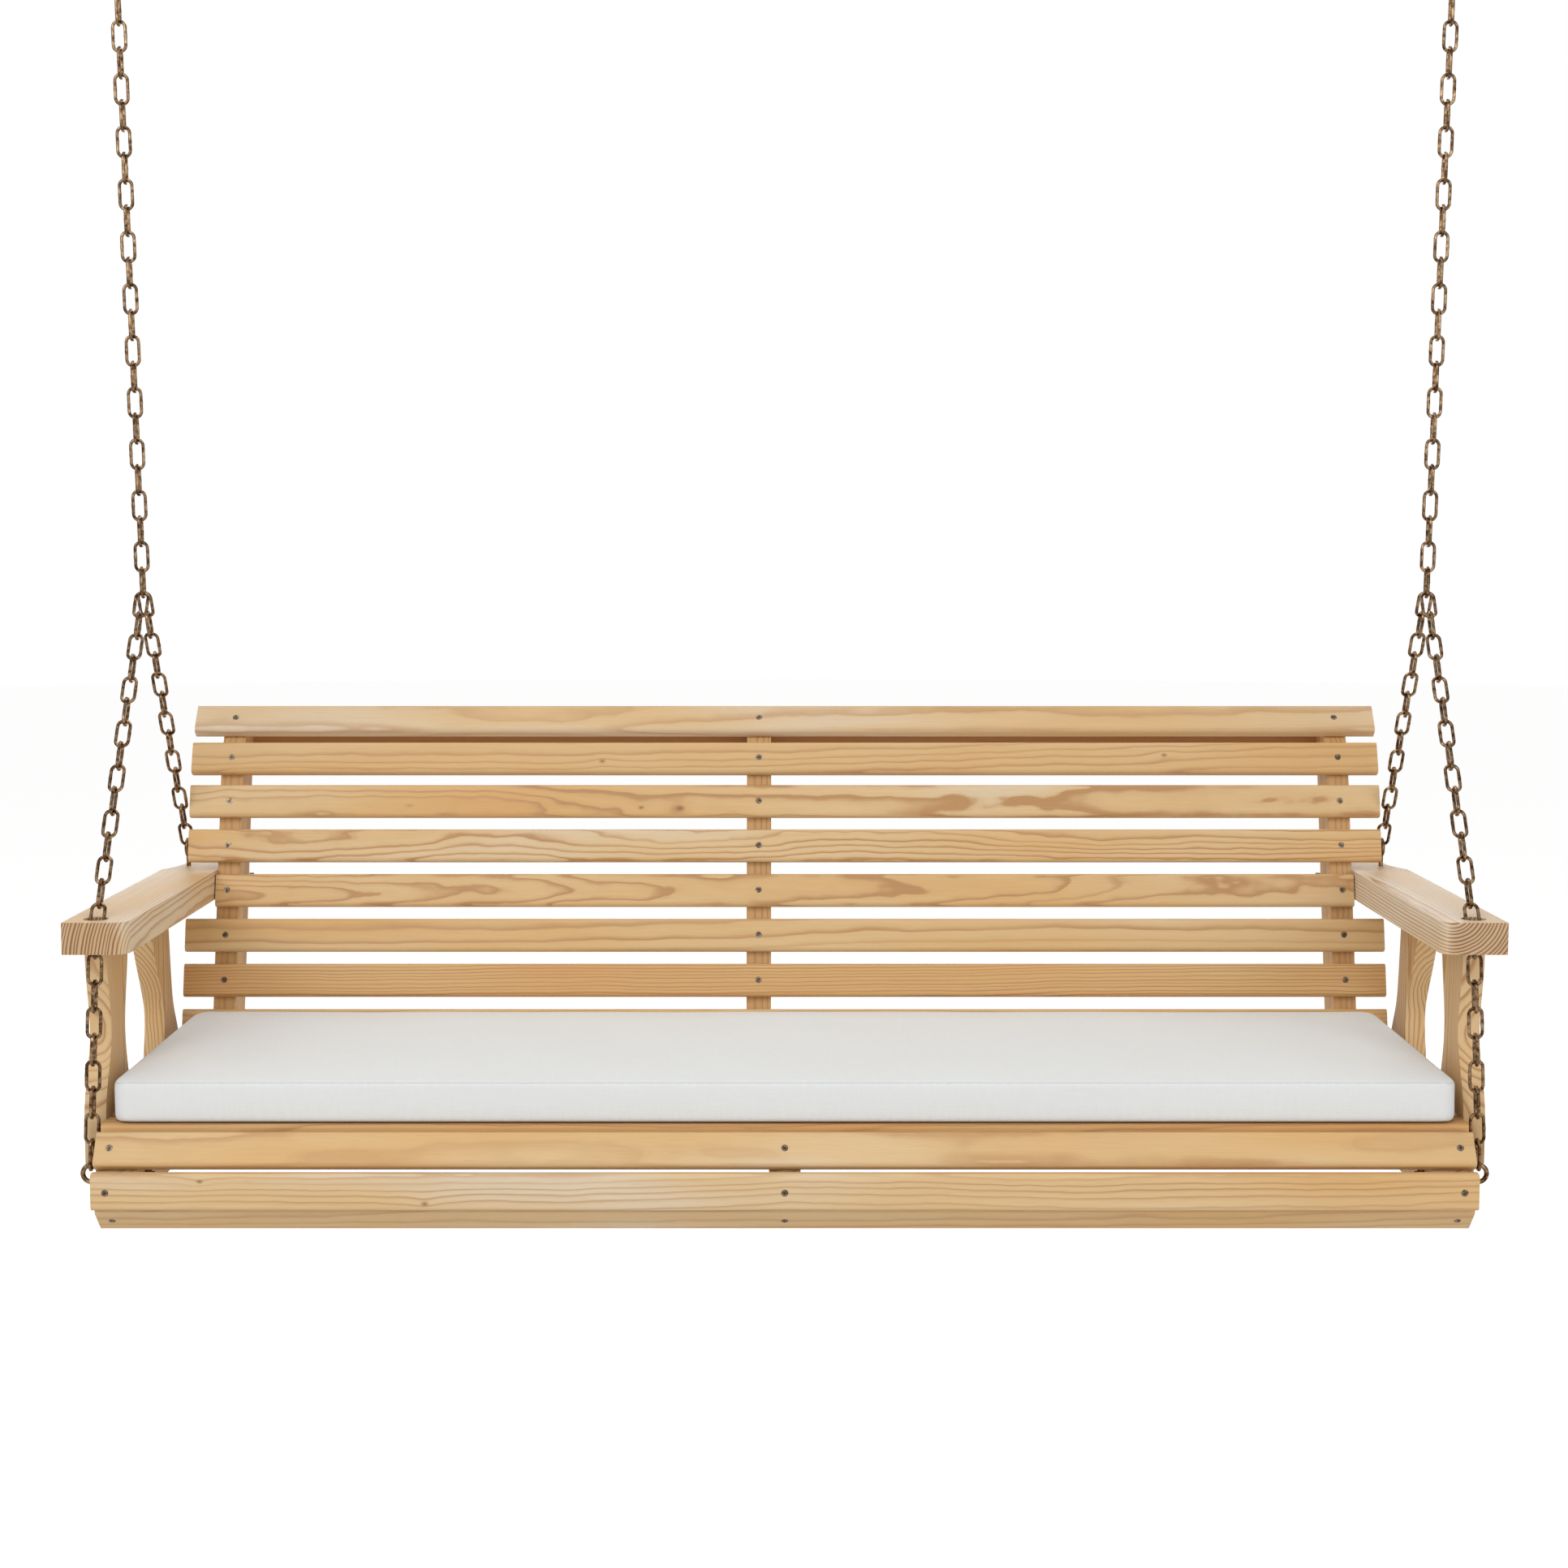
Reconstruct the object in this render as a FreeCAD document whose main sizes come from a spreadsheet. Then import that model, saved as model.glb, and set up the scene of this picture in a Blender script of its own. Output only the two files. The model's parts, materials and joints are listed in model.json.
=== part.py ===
import math
import os

import FreeCAD
import Part
import Sketcher
from FreeCAD import Placement, Rotation, Vector

# Five-foot roll-back porch swing with a seat cushion, hung from two ceiling screw eyes.
# Row frame: millimetres, origin on the ceiling plane midway between the two screw eyes, +Z up,
# the swing faces -Y. The swing itself is laid out in a bench frame whose zero is the middle of the
# front edge of the arms at their top face; hang() moves a piece from the bench frame to the row frame.

doc = FreeCAD.newDocument("porch_swing")
sheet = doc.addObject("Spreadsheet::Sheet", "Sizes")

SIZES = {
    "hang_drop": 1294, "hang_back": 303, "hook_half_span": 838,
    "slat_width": 44.5, "slat_thick": 19, "slat_round": 6, "seat_slat_length": 1651,
    "back_slat_length": 1625, "short_slat_length": 1547,
    "back_pitch": 61.2, "back_recline": 14, "second_slat_tilt": 22, "top_slat_tilt": 40,
    "back_plane_y": 480, "slat_four_rise": 36,
    "seat_top_z": -253, "seat_first_y": 77, "seat_pitch": 54.8,
    "end_rail_thick": 50.5, "centre_rail_thick": 38, "seat_rail_bottom": -342, "seat_rail_rear": 486,
    "back_stringer_thick": 30, "centre_back_thick": 33, "back_stringer_depth": 62,
    "arm_thick": 38.1, "arm_inner_x": 775, "arm_outer_x": 852, "arm_rear_y": 604,
    "arm_corner": 20, "chain_hole_dia": 30, "chain_hole_x": 819, "chain_hole_y": 33,
    "post_thick": 26.5, "post_bottom": -308,
    "wire_dia": 4.2, "link_width": 20, "link_gap": 0.5,
    "fork_x": 820.5, "fork_z": 384,
    "eye_wire_dia": 6, "eye_ring_dia": 21, "front_eye_x": 841.5, "front_eye_y": 68, "front_eye_z": -317,
    "rear_eye_x": 824, "rear_eye_y": 540, "rear_eye_z": 26,
    "hook_wire_dia": 9.5, "hook_ring_dia": 32, "hook_drop": 26.8,
    "hook_thread": 60, "hook_thread_dia": 9,
    "screw_dia": 4.2, "screw_head_dia": 8.4, "screw_length": 44, "screw_hole_dia": 4.6,
    "dowel_dia": 10, "dowel_length": 50, "lag_dia": 6,
    "bolt_dia": 8, "bolt_head_dia": 18, "washer_thick": 1.6, "nut_across": 13, "nut_thick": 6.5,
    "cushion_half_width": 808, "cushion_front_y": 48, "cushion_rear_y": 421,
    "cushion_thick_front": 52, "cushion_thick_rear": 74, "cushion_round": 12, "cushion_gap": 0.6,
}
for row, (alias, value) in enumerate(SIZES.items(), start=1):
    sheet.set(f"A{row}", alias)
    sheet.set(f"B{row}", str(value))
    sheet.setAlias(f"B{row}", alias)
doc.recompute()

PARTS = []


def size(alias):
    return float(sheet.get(alias))


def hang(x, y, z):
    """Bench-frame point to row-frame point."""
    return Vector(x, y - size("hang_back"), z - size("hang_drop"))


def tilted(x, y, z, tilt):
    """Placement whose local +Z leans back by tilt degrees from vertical."""
    return Placement(hang(x, y, z), Rotation(Vector(1, 0, 0), -tilt))


def keep(obj, label):
    obj.Label = label
    PARTS.append(obj)
    return obj


def bind(obj, prop, expression):
    obj.setExpression(prop, expression)


# ---------------------------------------------------------------- sketch helpers

def origin_plane(body, role):
    return next(f for f in body.Origin.OriginFeatures if f.Role == role)


def new_sketch(body, role, name):
    sketch = body.newObject("Sketcher::SketchObject", name)
    sketch.AttachmentSupport = (origin_plane(body, role), [""])
    sketch.MapMode = "FlatFace"
    return sketch


def constrain(sketch, kind, *where, expression=None):
    index = sketch.addConstraint(Sketcher.Constraint(kind, *where))
    if expression:
        bind(sketch, f"Constraints[{index}]", expression)


def rectangle(sketch, width, height):
    """Rectangle standing on the sketch's x axis, centred on its y axis; sizes are sheet expressions."""
    corners = [Vector(-20, 0), Vector(20, 0), Vector(20, 10), Vector(-20, 10)]
    for a, b in zip(corners, corners[1:] + corners[:1]):
        sketch.addGeometry(Part.LineSegment(a, b), False)
    for i in range(4):
        constrain(sketch, "Coincident", i, 2, (i + 1) % 4, 1)
    constrain(sketch, "Vertical", 1)
    constrain(sketch, "Horizontal", 2)
    constrain(sketch, "Vertical", 3)
    constrain(sketch, "Symmetric", 0, 1, 0, 2, -2)
    constrain(sketch, "DistanceX", 0, 1, 0, 2, 40.0, expression=width)
    constrain(sketch, "DistanceY", 1, 1, 1, 2, 10.0, expression=height)
    constrain(sketch, "PointOnObject", 0, 1, -1)


def pad(body, sketch, expression, midplane=False, reverse=False):
    feature = body.newObject("PartDesign::Pad", "Pad")
    feature.Profile = sketch
    bind(feature, "Length", expression)
    feature.Midplane = midplane
    feature.Reversed = reverse
    return feature


def pocket_through(body, sketch):
    """Pocket both ways through the solid; the volume must drop."""
    doc.recompute()
    before = body.Shape.Volume
    feature = body.newObject("PartDesign::Pocket", "Pocket")
    feature.Profile = sketch
    feature.Type = "ThroughAll"
    feature.Midplane = True
    doc.recompute()
    if not feature.Shape.Volume < before:
        raise RuntimeError(f"{body.Label}: the pocket cuts nothing")
    return feature


def circles(sketch, centres, radius_expression):
    for i, (x, y) in enumerate(centres):
        sketch.addGeometry(Part.Circle(Vector(x, y, 0), Vector(0, 0, 1), 2.0), False)
        constrain(sketch, "Radius", i, 2.0, expression=radius_expression)


def outline(sketch, pieces):
    """Closed outline: each piece is a list of points, a straight run for two and a spline for more."""
    for points in pieces:
        vectors = [Vector(*p, 0) for p in points]
        if len(vectors) == 2:
            sketch.addGeometry(Part.LineSegment(*vectors), False)
        else:
            curve = Part.BSplineCurve()
            curve.interpolate(vectors)
            sketch.addGeometry(curve, False)
    for i in range(len(pieces)):
        constrain(sketch, "Coincident", i, 2, (i + 1) % len(pieces), 1)


def polygon(points):
    return [[a, b] for a, b in zip(points, points[1:] + points[:1])]


def board(label, pieces, thick, x_low):
    """Upright board: outline in the bench YZ plane, thickness along +X from x_low."""
    body = doc.addObject("PartDesign::Body", label)
    sketch = new_sketch(body, "YZ_Plane", "Outline")
    outline(sketch, pieces)
    pad(body, sketch, thick)
    body.Placement = Placement(hang(x_low, 0, 0), Rotation())
    return keep(body, label)


# ---------------------------------------------------------------- slat layout

def lean(tilt):
    return math.sin(math.radians(tilt)), math.cos(math.radians(tilt))


def back_layout():
    """Front-face centre and tilt of each back slat, top slat first."""
    recline = size("back_recline")
    tilts = [size("top_slat_tilt"), size("second_slat_tilt")] + [recline] * 6
    s, c = lean(recline)
    rise = size("slat_four_rise")
    places = {4: (size("back_plane_y") + rise * s, rise * c)}
    for number in (5, 6, 7, 8):
        y, z = places[number - 1]
        places[number] = (y - size("back_pitch") * s, z - size("back_pitch") * c)
    for number in (3, 2, 1):
        y, z = places[number + 1]
        s, c = lean((tilts[number] + tilts[number - 1]) / 2)
        places[number] = (y + size("back_pitch") * s, z + size("back_pitch") * c)
    return [(*places[n], tilts[n - 1]) for n in range(1, 9)]


# Front slats that roll over the nose of the seat: face centre y, z and tilt
FRONT_LAYOUT = [(24, -275, 35.6), (-1, -324, 0), (30, -366, -46)]
BACK_LAYOUT = back_layout()
SEAT_LAYOUT = [size("seat_first_y") + i * size("seat_pitch") for i in range(7)]


def slat_back(y, z, tilt, along):
    """Point on a slat's back face, along its width from the middle."""
    s, c = lean(tilt)
    t = size("slat_thick")
    return y + along * s + t * c, z + along * c - t * s


SIDES = {"left": -1, "right": 1}
SEAT_SCREW_X = 808
BACK_SCREW_X = 758
CENTRE_BACK_X = -35.5


def slat(label, placement, length, screws):
    """Slat with four rounded long edges and countersunk screw holes. Local: x along, z across
    the width, front face at y = 0 and thickness towards +y."""
    body = doc.addObject("PartDesign::Body", label)
    sketch = new_sketch(body, "YZ_Plane", "Section")
    rectangle(sketch, "Sizes.slat_thick", "Sizes.slat_width")
    bar = pad(body, sketch, length, midplane=True)
    doc.recompute()
    long_edges = [f"Edge{i}" for i, e in enumerate(bar.Shape.Edges, start=1)
                  if e.Length > size("slat_width") * 2]
    rounding = body.newObject("PartDesign::Fillet", "RoundedEdges")
    rounding.Base = (bar, long_edges)
    bind(rounding, "Radius", "Sizes.slat_round")
    holes = new_sketch(body, "XZ_Plane", "ScrewPlaces")
    circles(holes, [(x, size("slat_width") / 2) for x in screws], "Sizes.screw_hole_dia / 2")
    # The front face lies half a thickness in front of the section's own plane.
    bind(holes, ".AttachmentOffset.Base.z", "Sizes.slat_thick / 2")
    doc.recompute()
    drill = body.newObject("PartDesign::Hole", "ScrewHoles")
    drill.Profile = holes
    drill.ThreadType = "None"
    drill.HoleCutType = "Countersink"
    drill.HoleCutCustomValues = True
    bind(drill, "Diameter", "Sizes.screw_hole_dia")
    bind(drill, "HoleCutDiameter", "Sizes.screw_head_dia + 0.8")
    drill.HoleCutCountersinkAngle = 90
    drill.DepthType = "ThroughAll"
    doc.recompute()
    if not drill.Shape.Volume < rounding.Shape.Volume:
        drill.Reversed = True
        doc.recompute()
    if not drill.Shape.Volume < rounding.Shape.Volume:
        raise RuntimeError(f"{label}: the screw holes cut nothing")
    # Bring the local origin to the middle of the front face.
    middle = Placement(Vector(0, size("slat_thick") / 2, -size("slat_width") / 2), Rotation())
    body.Placement = placement.multiply(middle)
    return keep(body, label)


# ---------------------------------------------------------------- timber frame

def build_slats():
    for number, (y, z, tilt) in enumerate(BACK_LAYOUT, start=1):
        # The fifth slat lies at arm height and fits between the arms.
        length = "Sizes.short_slat_length" if number == 5 else "Sizes.back_slat_length"
        screws = (-BACK_SCREW_X, CENTRE_BACK_X, BACK_SCREW_X)
        slat(f"back_slat_{number}", tilted(0, y, z, tilt), length, screws)
    for number, y in enumerate(SEAT_LAYOUT, start=1):
        # A seat slat is a slat lying on its back: its face looks up.
        place = Placement(hang(0, y, size("seat_top_z")), Rotation(Vector(1, 0, 0), -90))
        slat(f"seat_slat_{number}", place, "Sizes.seat_slat_length", (-SEAT_SCREW_X, 0, SEAT_SCREW_X))
    for name, (y, z, tilt) in zip(("upper", "middle", "lower"), FRONT_LAYOUT):
        slat(f"front_slat_{name}", tilted(0, y, z, tilt), "Sizes.seat_slat_length",
             (-SEAT_SCREW_X, 0, SEAT_SCREW_X))


def meet(first, second):
    """Where the back planes of two slats cross."""
    (ay, az), (by, bz) = slat_back(*first, 0), slat_back(*second, 0)
    (asn, acs), (bsn, bcs) = lean(first[2]), lean(second[2])
    cross = asn * bcs - acs * bsn
    along = ((by - ay) * bcs - (bz - az) * bsn) / cross
    return (ay + along * asn, az + along * acs)


def seat_rail_outline():
    """The rail's top carries the seat slats, its nose the three front slats."""
    top = size("seat_top_z") - size("slat_thick")
    low, rear = size("seat_rail_bottom"), size("seat_rail_rear")
    upper, middle, lower = FRONT_LAYOUT
    s, c = lean(upper[2])
    y, z = slat_back(*upper, 0)
    shoulder = (y + (top - z) * s / c, top)
    toe = slat_back(*lower, -27)
    return [[shoulder, meet(upper, middle)], [meet(upper, middle), meet(middle, lower)],
            [meet(middle, lower), toe], [toe, (toe[0] + 28, toe[1] - 1), (toe[0] + 80, low)],
            [(toe[0] + 80, low), (rear - 30, low)], [(rear - 30, low), (rear, low + 30)],
            [(rear, low + 30), (rear, top)], [(rear, top), shoulder]]


def back_stringer_outline():
    """Front edge carries the back slats and rolls back at the top; the rear edge is straight."""
    recline = size("back_recline")
    s, c = lean(recline)
    fourth = BACK_LAYOUT[3]
    depth = size("back_stringer_depth")
    foot_y, foot_z = slat_back(*fourth, 0)
    run = (foot_z - size("seat_rail_bottom")) / c
    foot = (foot_y - run * s, size("seat_rail_bottom"))
    top_back = slat_back(*BACK_LAYOUT[0], size("slat_width") / 2)
    turns = [slat_back(*BACK_LAYOUT[2], size("slat_width") / 2),
             slat_back(*BACK_LAYOUT[1], -size("slat_width") / 2),
             slat_back(*BACK_LAYOUT[1], size("slat_width") / 2),
             slat_back(*BACK_LAYOUT[0], -size("slat_width") / 2), top_back]
    front = [foot] + turns
    heel = (foot[0] + depth / c, foot[1])
    crown_z = top_back[1] - 12
    crown = (heel[0] + (crown_z - heel[1]) * s / c, crown_z)
    runs = [[a, b] for a, b in zip(front, front[1:])]
    return runs + [[top_back, crown], [crown, heel], [heel, foot]]


def build_frame():
    for side, sign in SIDES.items():
        inner = size("arm_inner_x")
        low = inner if sign > 0 else -inner - size("end_rail_thick")
        board(f"seat_stringer_{side}", seat_rail_outline(), "Sizes.end_rail_thick", low)
        low = inner - size("back_stringer_thick") if sign > 0 else -inner
        board(f"back_stringer_{side}", back_stringer_outline(), "Sizes.back_stringer_thick", low)
    half = size("centre_rail_thick") / 2
    board("seat_stringer_centre", seat_rail_outline(), "Sizes.centre_rail_thick", -half)
    board("back_stringer_centre", back_stringer_outline(), "Sizes.centre_back_thick",
          -half - size("centre_back_thick"))


RAIL_DROP = 58


def rail_place():
    """Lower front corner line of the top rail, which lies on the rear edge of the back stringers."""
    crown, heel = back_stringer_outline()[-2]
    s, c = lean(size("back_recline"))
    return crown[0] - RAIL_DROP * s, crown[1] - RAIL_DROP * c


def build_top_rail():
    y, z = rail_place()
    rail = doc.addObject("Part::Box", "back_top_rail")
    bind(rail, "Length", "2 * Sizes.arm_inner_x")
    bind(rail, "Width", "Sizes.slat_thick")
    bind(rail, "Height", "Sizes.slat_width")
    rail.Placement = tilted(-size("arm_inner_x"), y, z, size("back_recline"))
    return keep(rail, "back_top_rail")


def arm_outline(sign):
    """Plan of an arm: square outer front corner, rounded inner one, slimmer behind the post."""
    inner, outer, corner = size("arm_inner_x"), size("arm_outer_x"), size("arm_corner")
    rear = size("arm_rear_y")
    curve = [(inner, corner), (inner + corner * 0.293, corner * 0.293), (inner + corner, 0)]
    points = [[(inner, rear), (inner, corner)], curve, [(inner + corner, 0), (outer, 0)],
              [(outer, 0), (outer, 500)], [(outer, 500), (outer - 10, 524), (outer - 17, 556)],
              [(outer - 17, 556), (outer - 19, rear)], [(outer - 19, rear), (inner, rear)]]
    return [[(sign * x, y) for x, y in run] for run in points]


def build_arms():
    for side, sign in SIDES.items():
        body = doc.addObject("PartDesign::Body", f"arm_{side}")
        sketch = new_sketch(body, "XY_Plane", "Plan")
        outline(sketch, arm_outline(sign))
        pad(body, sketch, "Sizes.arm_thick", reverse=True)
        holes = new_sketch(body, "XY_Plane", "ChainAndEyeHoles")
        circles(holes, [(sign * size("chain_hole_x"), size("chain_hole_y"))], "Sizes.chain_hole_dia / 2")
        pocket_through(body, holes)
        bore = new_sketch(body, "XY_Plane", "EyeBoltHole")
        circles(bore, [(sign * size("rear_eye_x"), size("rear_eye_y"))], "Sizes.eye_wire_dia / 2 + 0.2")
        pocket_through(body, bore)
        body.Placement = Placement(hang(0, 0, 0), Rotation())
        keep(body, f"arm_{side}")


FRONT_POST = {"front": [(101, 0), (105, 52), (114, 125), (96, 165), (80, 212)],
              "rear": [(205, 0), (196, 52), (182, 128), (192, 172), (206, 222)]}
REAR_POST = {"front": [(322, 0), (341, 58), (371, 106), (385, 137), (378, 188), (364, 240)],
             "rear": [(414, 0), (424, 58), (430, 102), (439, 137), (456, 165), (470, 222)]}


def post_outline(profile):
    """S-sided post from the arm's underside down to the foot; depths are below the arm."""
    top, foot = -size("arm_thick"), size("post_bottom")
    front = [(y, top - depth) for y, depth in profile["front"]]
    rear = [(y, top - depth) for y, depth in profile["rear"]]
    return [front, [front[-1], (front[-1][0], foot)], [(front[-1][0], foot), (rear[-1][0], foot)],
            [(rear[-1][0], foot), rear[-1]], rear[::-1], [rear[0], front[0]]]


def build_posts():
    slats_end = size("seat_slat_length") / 2
    for side, sign in SIDES.items():
        low = slats_end if sign > 0 else -slats_end - size("post_thick")
        board(f"arm_post_front_{side}", post_outline(FRONT_POST), "Sizes.post_thick", low)
        board(f"arm_post_rear_{side}", post_outline(REAR_POST), "Sizes.post_thick", low)


# ---------------------------------------------------------------- hardware

def group(label, solids):
    """One node of loose solids that share a purpose, already in the row frame."""
    feature = doc.addObject("Part::Feature", label)
    feature.Shape = Part.makeCompound(solids)
    return keep(feature, label)


def turned(base, direction, profile):
    """Solid of revolution: profile is (distance along direction, radius) from base."""
    points = [Vector(profile[0][0], 0, 0)] + [Vector(a, r, 0) for a, r in profile]
    points += [Vector(profile[-1][0], 0, 0), points[0]]
    face = Part.Face(Part.makePolygon(points))
    solid = face.revolve(Vector(), Vector(1, 0, 0), 360)
    solid.Placement = Placement(base, Rotation(Vector(1, 0, 0), direction))
    return solid


def wood_screw(head, direction):
    """Countersunk screw with its head flush at head, driven along direction."""
    shank, crown, length = size("screw_dia") / 2, size("screw_head_dia") / 2, size("screw_length")
    sink = crown - shank
    return turned(head, direction, [(0.3, crown), (sink + 0.3, shank), (length - 6, shank), (length, 0.4)])


def hexagon(base, direction, across, thick):
    nut = Part.Face(Part.makePolygon([
        Vector(across / math.sqrt(3) * math.cos(math.radians(a)),
               across / math.sqrt(3) * math.sin(math.radians(a)), 0) for a in range(0, 361, 60)]))
    solid = nut.extrude(Vector(0, 0, thick))
    solid.Placement = Placement(base, Rotation(Vector(0, 0, 1), direction))
    return solid


def carriage_bolt(base, direction, grip):
    """Domed head at base; the shank runs along direction and stands out past the nut."""
    radius, head = size("bolt_dia") / 2, size("bolt_head_dia") / 2
    tail = grip + size("washer_thick") + size("nut_thick") + 3
    dome = [(-4, 3), (-3, head * 0.72), (-1.2, head * 0.96), (0, head)]
    return turned(base, direction, dome + [(0, radius), (tail, radius)])


def washer(base, direction, bore):
    ring = Part.makeCylinder(bore * 2.1, size("washer_thick"))
    ring = ring.cut(Part.makeCylinder(bore + 0.2, size("washer_thick")))
    ring.Placement = Placement(base, Rotation(Vector(0, 0, 1), direction))
    return ring


def nut(base, direction, bore):
    solid = hexagon(base, direction, size("nut_across"), size("nut_thick"))
    return solid.cut(Part.makeCylinder(bore + 0.1, size("nut_thick"), base, direction))


def slat_screws(layout, places):
    """Screws through each slat face; places gives the x of the screws."""
    solids = []
    for y, z, tilt in layout:
        s, c = lean(tilt)
        solids += [wood_screw(hang(x, y, z), Vector(0, c, -s)) for x in places]
    return solids


def build_screws():
    group("back_slat_screws", slat_screws(BACK_LAYOUT, (-BACK_SCREW_X, CENTRE_BACK_X, BACK_SCREW_X)))
    seat = [(y, size("seat_top_z"), 90) for y in SEAT_LAYOUT]
    places = (-SEAT_SCREW_X, 0, SEAT_SCREW_X)
    group("seat_slat_screws", slat_screws(seat, places))
    group("front_slat_screws", slat_screws(FRONT_LAYOUT, places))
    y, z = rail_place()
    s, c = lean(size("back_recline"))
    half, thick = size("slat_width") / 2, size("slat_thick")
    face = (y + half * s + thick * c, z + half * c - thick * s)
    group("top_rail_screws", [wood_screw(hang(x, *face), Vector(0, -c, s))
                              for x in (-BACK_SCREW_X, CENTRE_BACK_X, BACK_SCREW_X)])


ARM_DOWEL_PLACES = (130, 178, 350, 392)
ARM_LAG_PLACES = ((527, -19), (565, -19))


def build_arm_fixings():
    """Hidden dowels join each post to its arm, lag screws hold the arm to the back stringer."""
    dowels, lags = [], []
    long, inner = size("dowel_length"), size("arm_inner_x") - size("back_stringer_thick")
    head, shank = size("nut_across") / 2, size("lag_dia") / 2
    for sign in SIDES.values():
        middle = size("seat_slat_length") / 2 + size("post_thick") / 2
        for y in ARM_DOWEL_PLACES:
            foot = hang(sign * middle, y, -size("arm_thick") - long / 2)
            dowels.append(Part.makeCylinder(size("dowel_dia") / 2, long, foot))
        for y, z in ARM_LAG_PLACES:
            profile = [(-5, head), (0, head), (0, shank), (64, shank), (70, 0.4)]
            lags.append(turned(hang(sign * inner, y, z), Vector(sign, 0, 0), profile))
    group("arm_dowels", dowels)
    group("arm_lag_screws", lags)


POST_BOLTS = [(120, -290), (175, -290), (392, -290)]
STRINGER_BOLTS = [(446, -290), (446, -322)]


def build_bolts():
    """Carriage bolts from the posts into the seat rails, and through seat rail and back stringer."""
    bolts, nuts, washers = [], [], []
    rail_in, rail_out = size("arm_inner_x"), size("seat_slat_length") / 2
    bore = size("bolt_dia") / 2

    def through(x_head, x_far, sign, y, z):
        away = Vector(sign, 0, 0)
        bolts.append(carriage_bolt(hang(x_head, y, z), away, abs(x_far - x_head)))
        washers.append(washer(hang(x_far, y, z), away, bore))
        nuts.append(nut(hang(x_far + sign * size("washer_thick"), y, z), away, bore))

    for sign in SIDES.values():
        for y, z in POST_BOLTS:
            through(sign * (rail_out + size("post_thick")), sign * rail_in, -sign, y, z)
        # The upper bolt goes through the post's foot as well, the lower one starts on the rail.
        for (y, z), head in zip(STRINGER_BOLTS, (rail_out + size("post_thick"), rail_out)):
            through(sign * head, sign * (rail_in - size("back_stringer_thick")), -sign, y, z)
    half = size("centre_rail_thick") / 2
    for y, z in STRINGER_BOLTS:
        through(half, -half - size("centre_back_thick"), -1, y, z)
    group("frame_bolts", bolts)
    group("frame_bolt_nuts", nuts)
    group("frame_bolt_washers", washers)
    return bolts


def bores_for(bolts, clearance=0.2):
    """A clearance rod along X for each bolt."""
    rods = []
    for bolt in bolts:
        box = bolt.BoundBox
        start = Vector(box.XMin - 1, (box.YMin + box.YMax) / 2, (box.ZMin + box.ZMax) / 2)
        radius = size("bolt_dia") / 2 + clearance
        rods.append(Part.makeCylinder(radius, box.XLength + 2, start, Vector(1, 0, 0)))
    return rods


def drill(rods, labels):
    """Cut from each labelled board the rods that pass through it."""
    doc.recompute()
    for index, obj in enumerate(PARTS):
        label = obj.Label
        if label not in labels:
            continue
        cutters = [rod for rod in rods if rod.common(obj.Shape).Volume > 1]
        if not cutters:
            raise RuntimeError(f"{label}: no bolt reaches it")
        tool = doc.addObject("Part::Feature", f"{label}_bores")
        tool.Shape = Part.makeCompound(cutters)
        drilled = doc.addObject("Part::Cut", f"{label}_drilled")
        drilled.Base, drilled.Tool = obj, tool
        obj.Label = f"{label}_blank"
        drilled.Label = label
        PARTS[index] = drilled


def eye_bolt(ring, normal, shank, tail):
    """Eye bolt: ring centre, ring normal, shank direction and length from the ring centre."""
    wire, loop = size("eye_wire_dia") / 2, size("eye_ring_dia") / 2
    torus = Part.makeTorus(loop, wire, ring, normal)
    stem = Part.makeCylinder(wire, tail - loop, ring + shank * loop, shank)
    return torus.fuse(stem).removeSplitter()


def build_eye_bolts():
    nuts, washers, bores = [], [], []
    bore = size("eye_wire_dia") / 2
    up, back = Vector(0, 0, 1), Vector(0, 1, 0)
    grip_end = size("washer_thick") + size("nut_thick") + 3
    for side, sign in SIDES.items():
        ring = hang(sign * size("front_eye_x"), size("front_eye_y"), size("front_eye_z"))
        inward = Vector(-sign, 0, 0)
        depth = size("front_eye_x") - size("arm_inner_x")
        group(f"front_eye_bolt_{side}", [eye_bolt(ring, back, inward, depth + grip_end)])
        seat = ring + inward * depth
        washers.append(washer(seat, inward, bore))
        nuts.append(nut(seat + inward * size("washer_thick"), inward, bore))
        bores.append(Part.makeCylinder(bore + 0.2, depth + 40, ring, inward))

        ring = hang(sign * size("rear_eye_x"), size("rear_eye_y"), size("rear_eye_z"))
        depth = size("rear_eye_z") + size("arm_thick")
        group(f"rear_eye_bolt_{side}", [eye_bolt(ring, Vector(1, 0, 0), -up, depth + grip_end)])
        seat = ring - up * depth
        washers.append(washer(seat, -up, bore))
        nuts.append(nut(seat - up * size("washer_thick"), -up, bore))
    group("eye_bolt_nuts", nuts)
    group("eye_bolt_washers", washers)
    return bores


# ---------------------------------------------------------------- chains

def link(a, b, across):
    """Straight chain link whose end bars' centrelines lie at a and b; across is its wide direction."""
    wire, half = size("wire_dia") / 2, (size("link_width") - size("wire_dia")) / 2
    along = (b - a).normalize()
    across = (across - along * across.dot(along)).normalize()
    top, bottom = a + along * half, b - along * half
    normal = along.cross(across)
    solids = []
    for centre, turn in ((top, -1), (bottom, 1)):
        section = Part.Face(Part.Wire(Part.makeCircle(wire, centre + across * half, along)))
        solids.append(section.revolve(centre, normal * -turn, 180))
    for offset in (half, -half):
        section = Part.Face(Part.Wire(Part.makeCircle(wire, top + across * offset, along)))
        solids.append(section.extrude(bottom - top))
    return solids[0].multiFuse(solids[1:]).removeSplitter()


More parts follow.
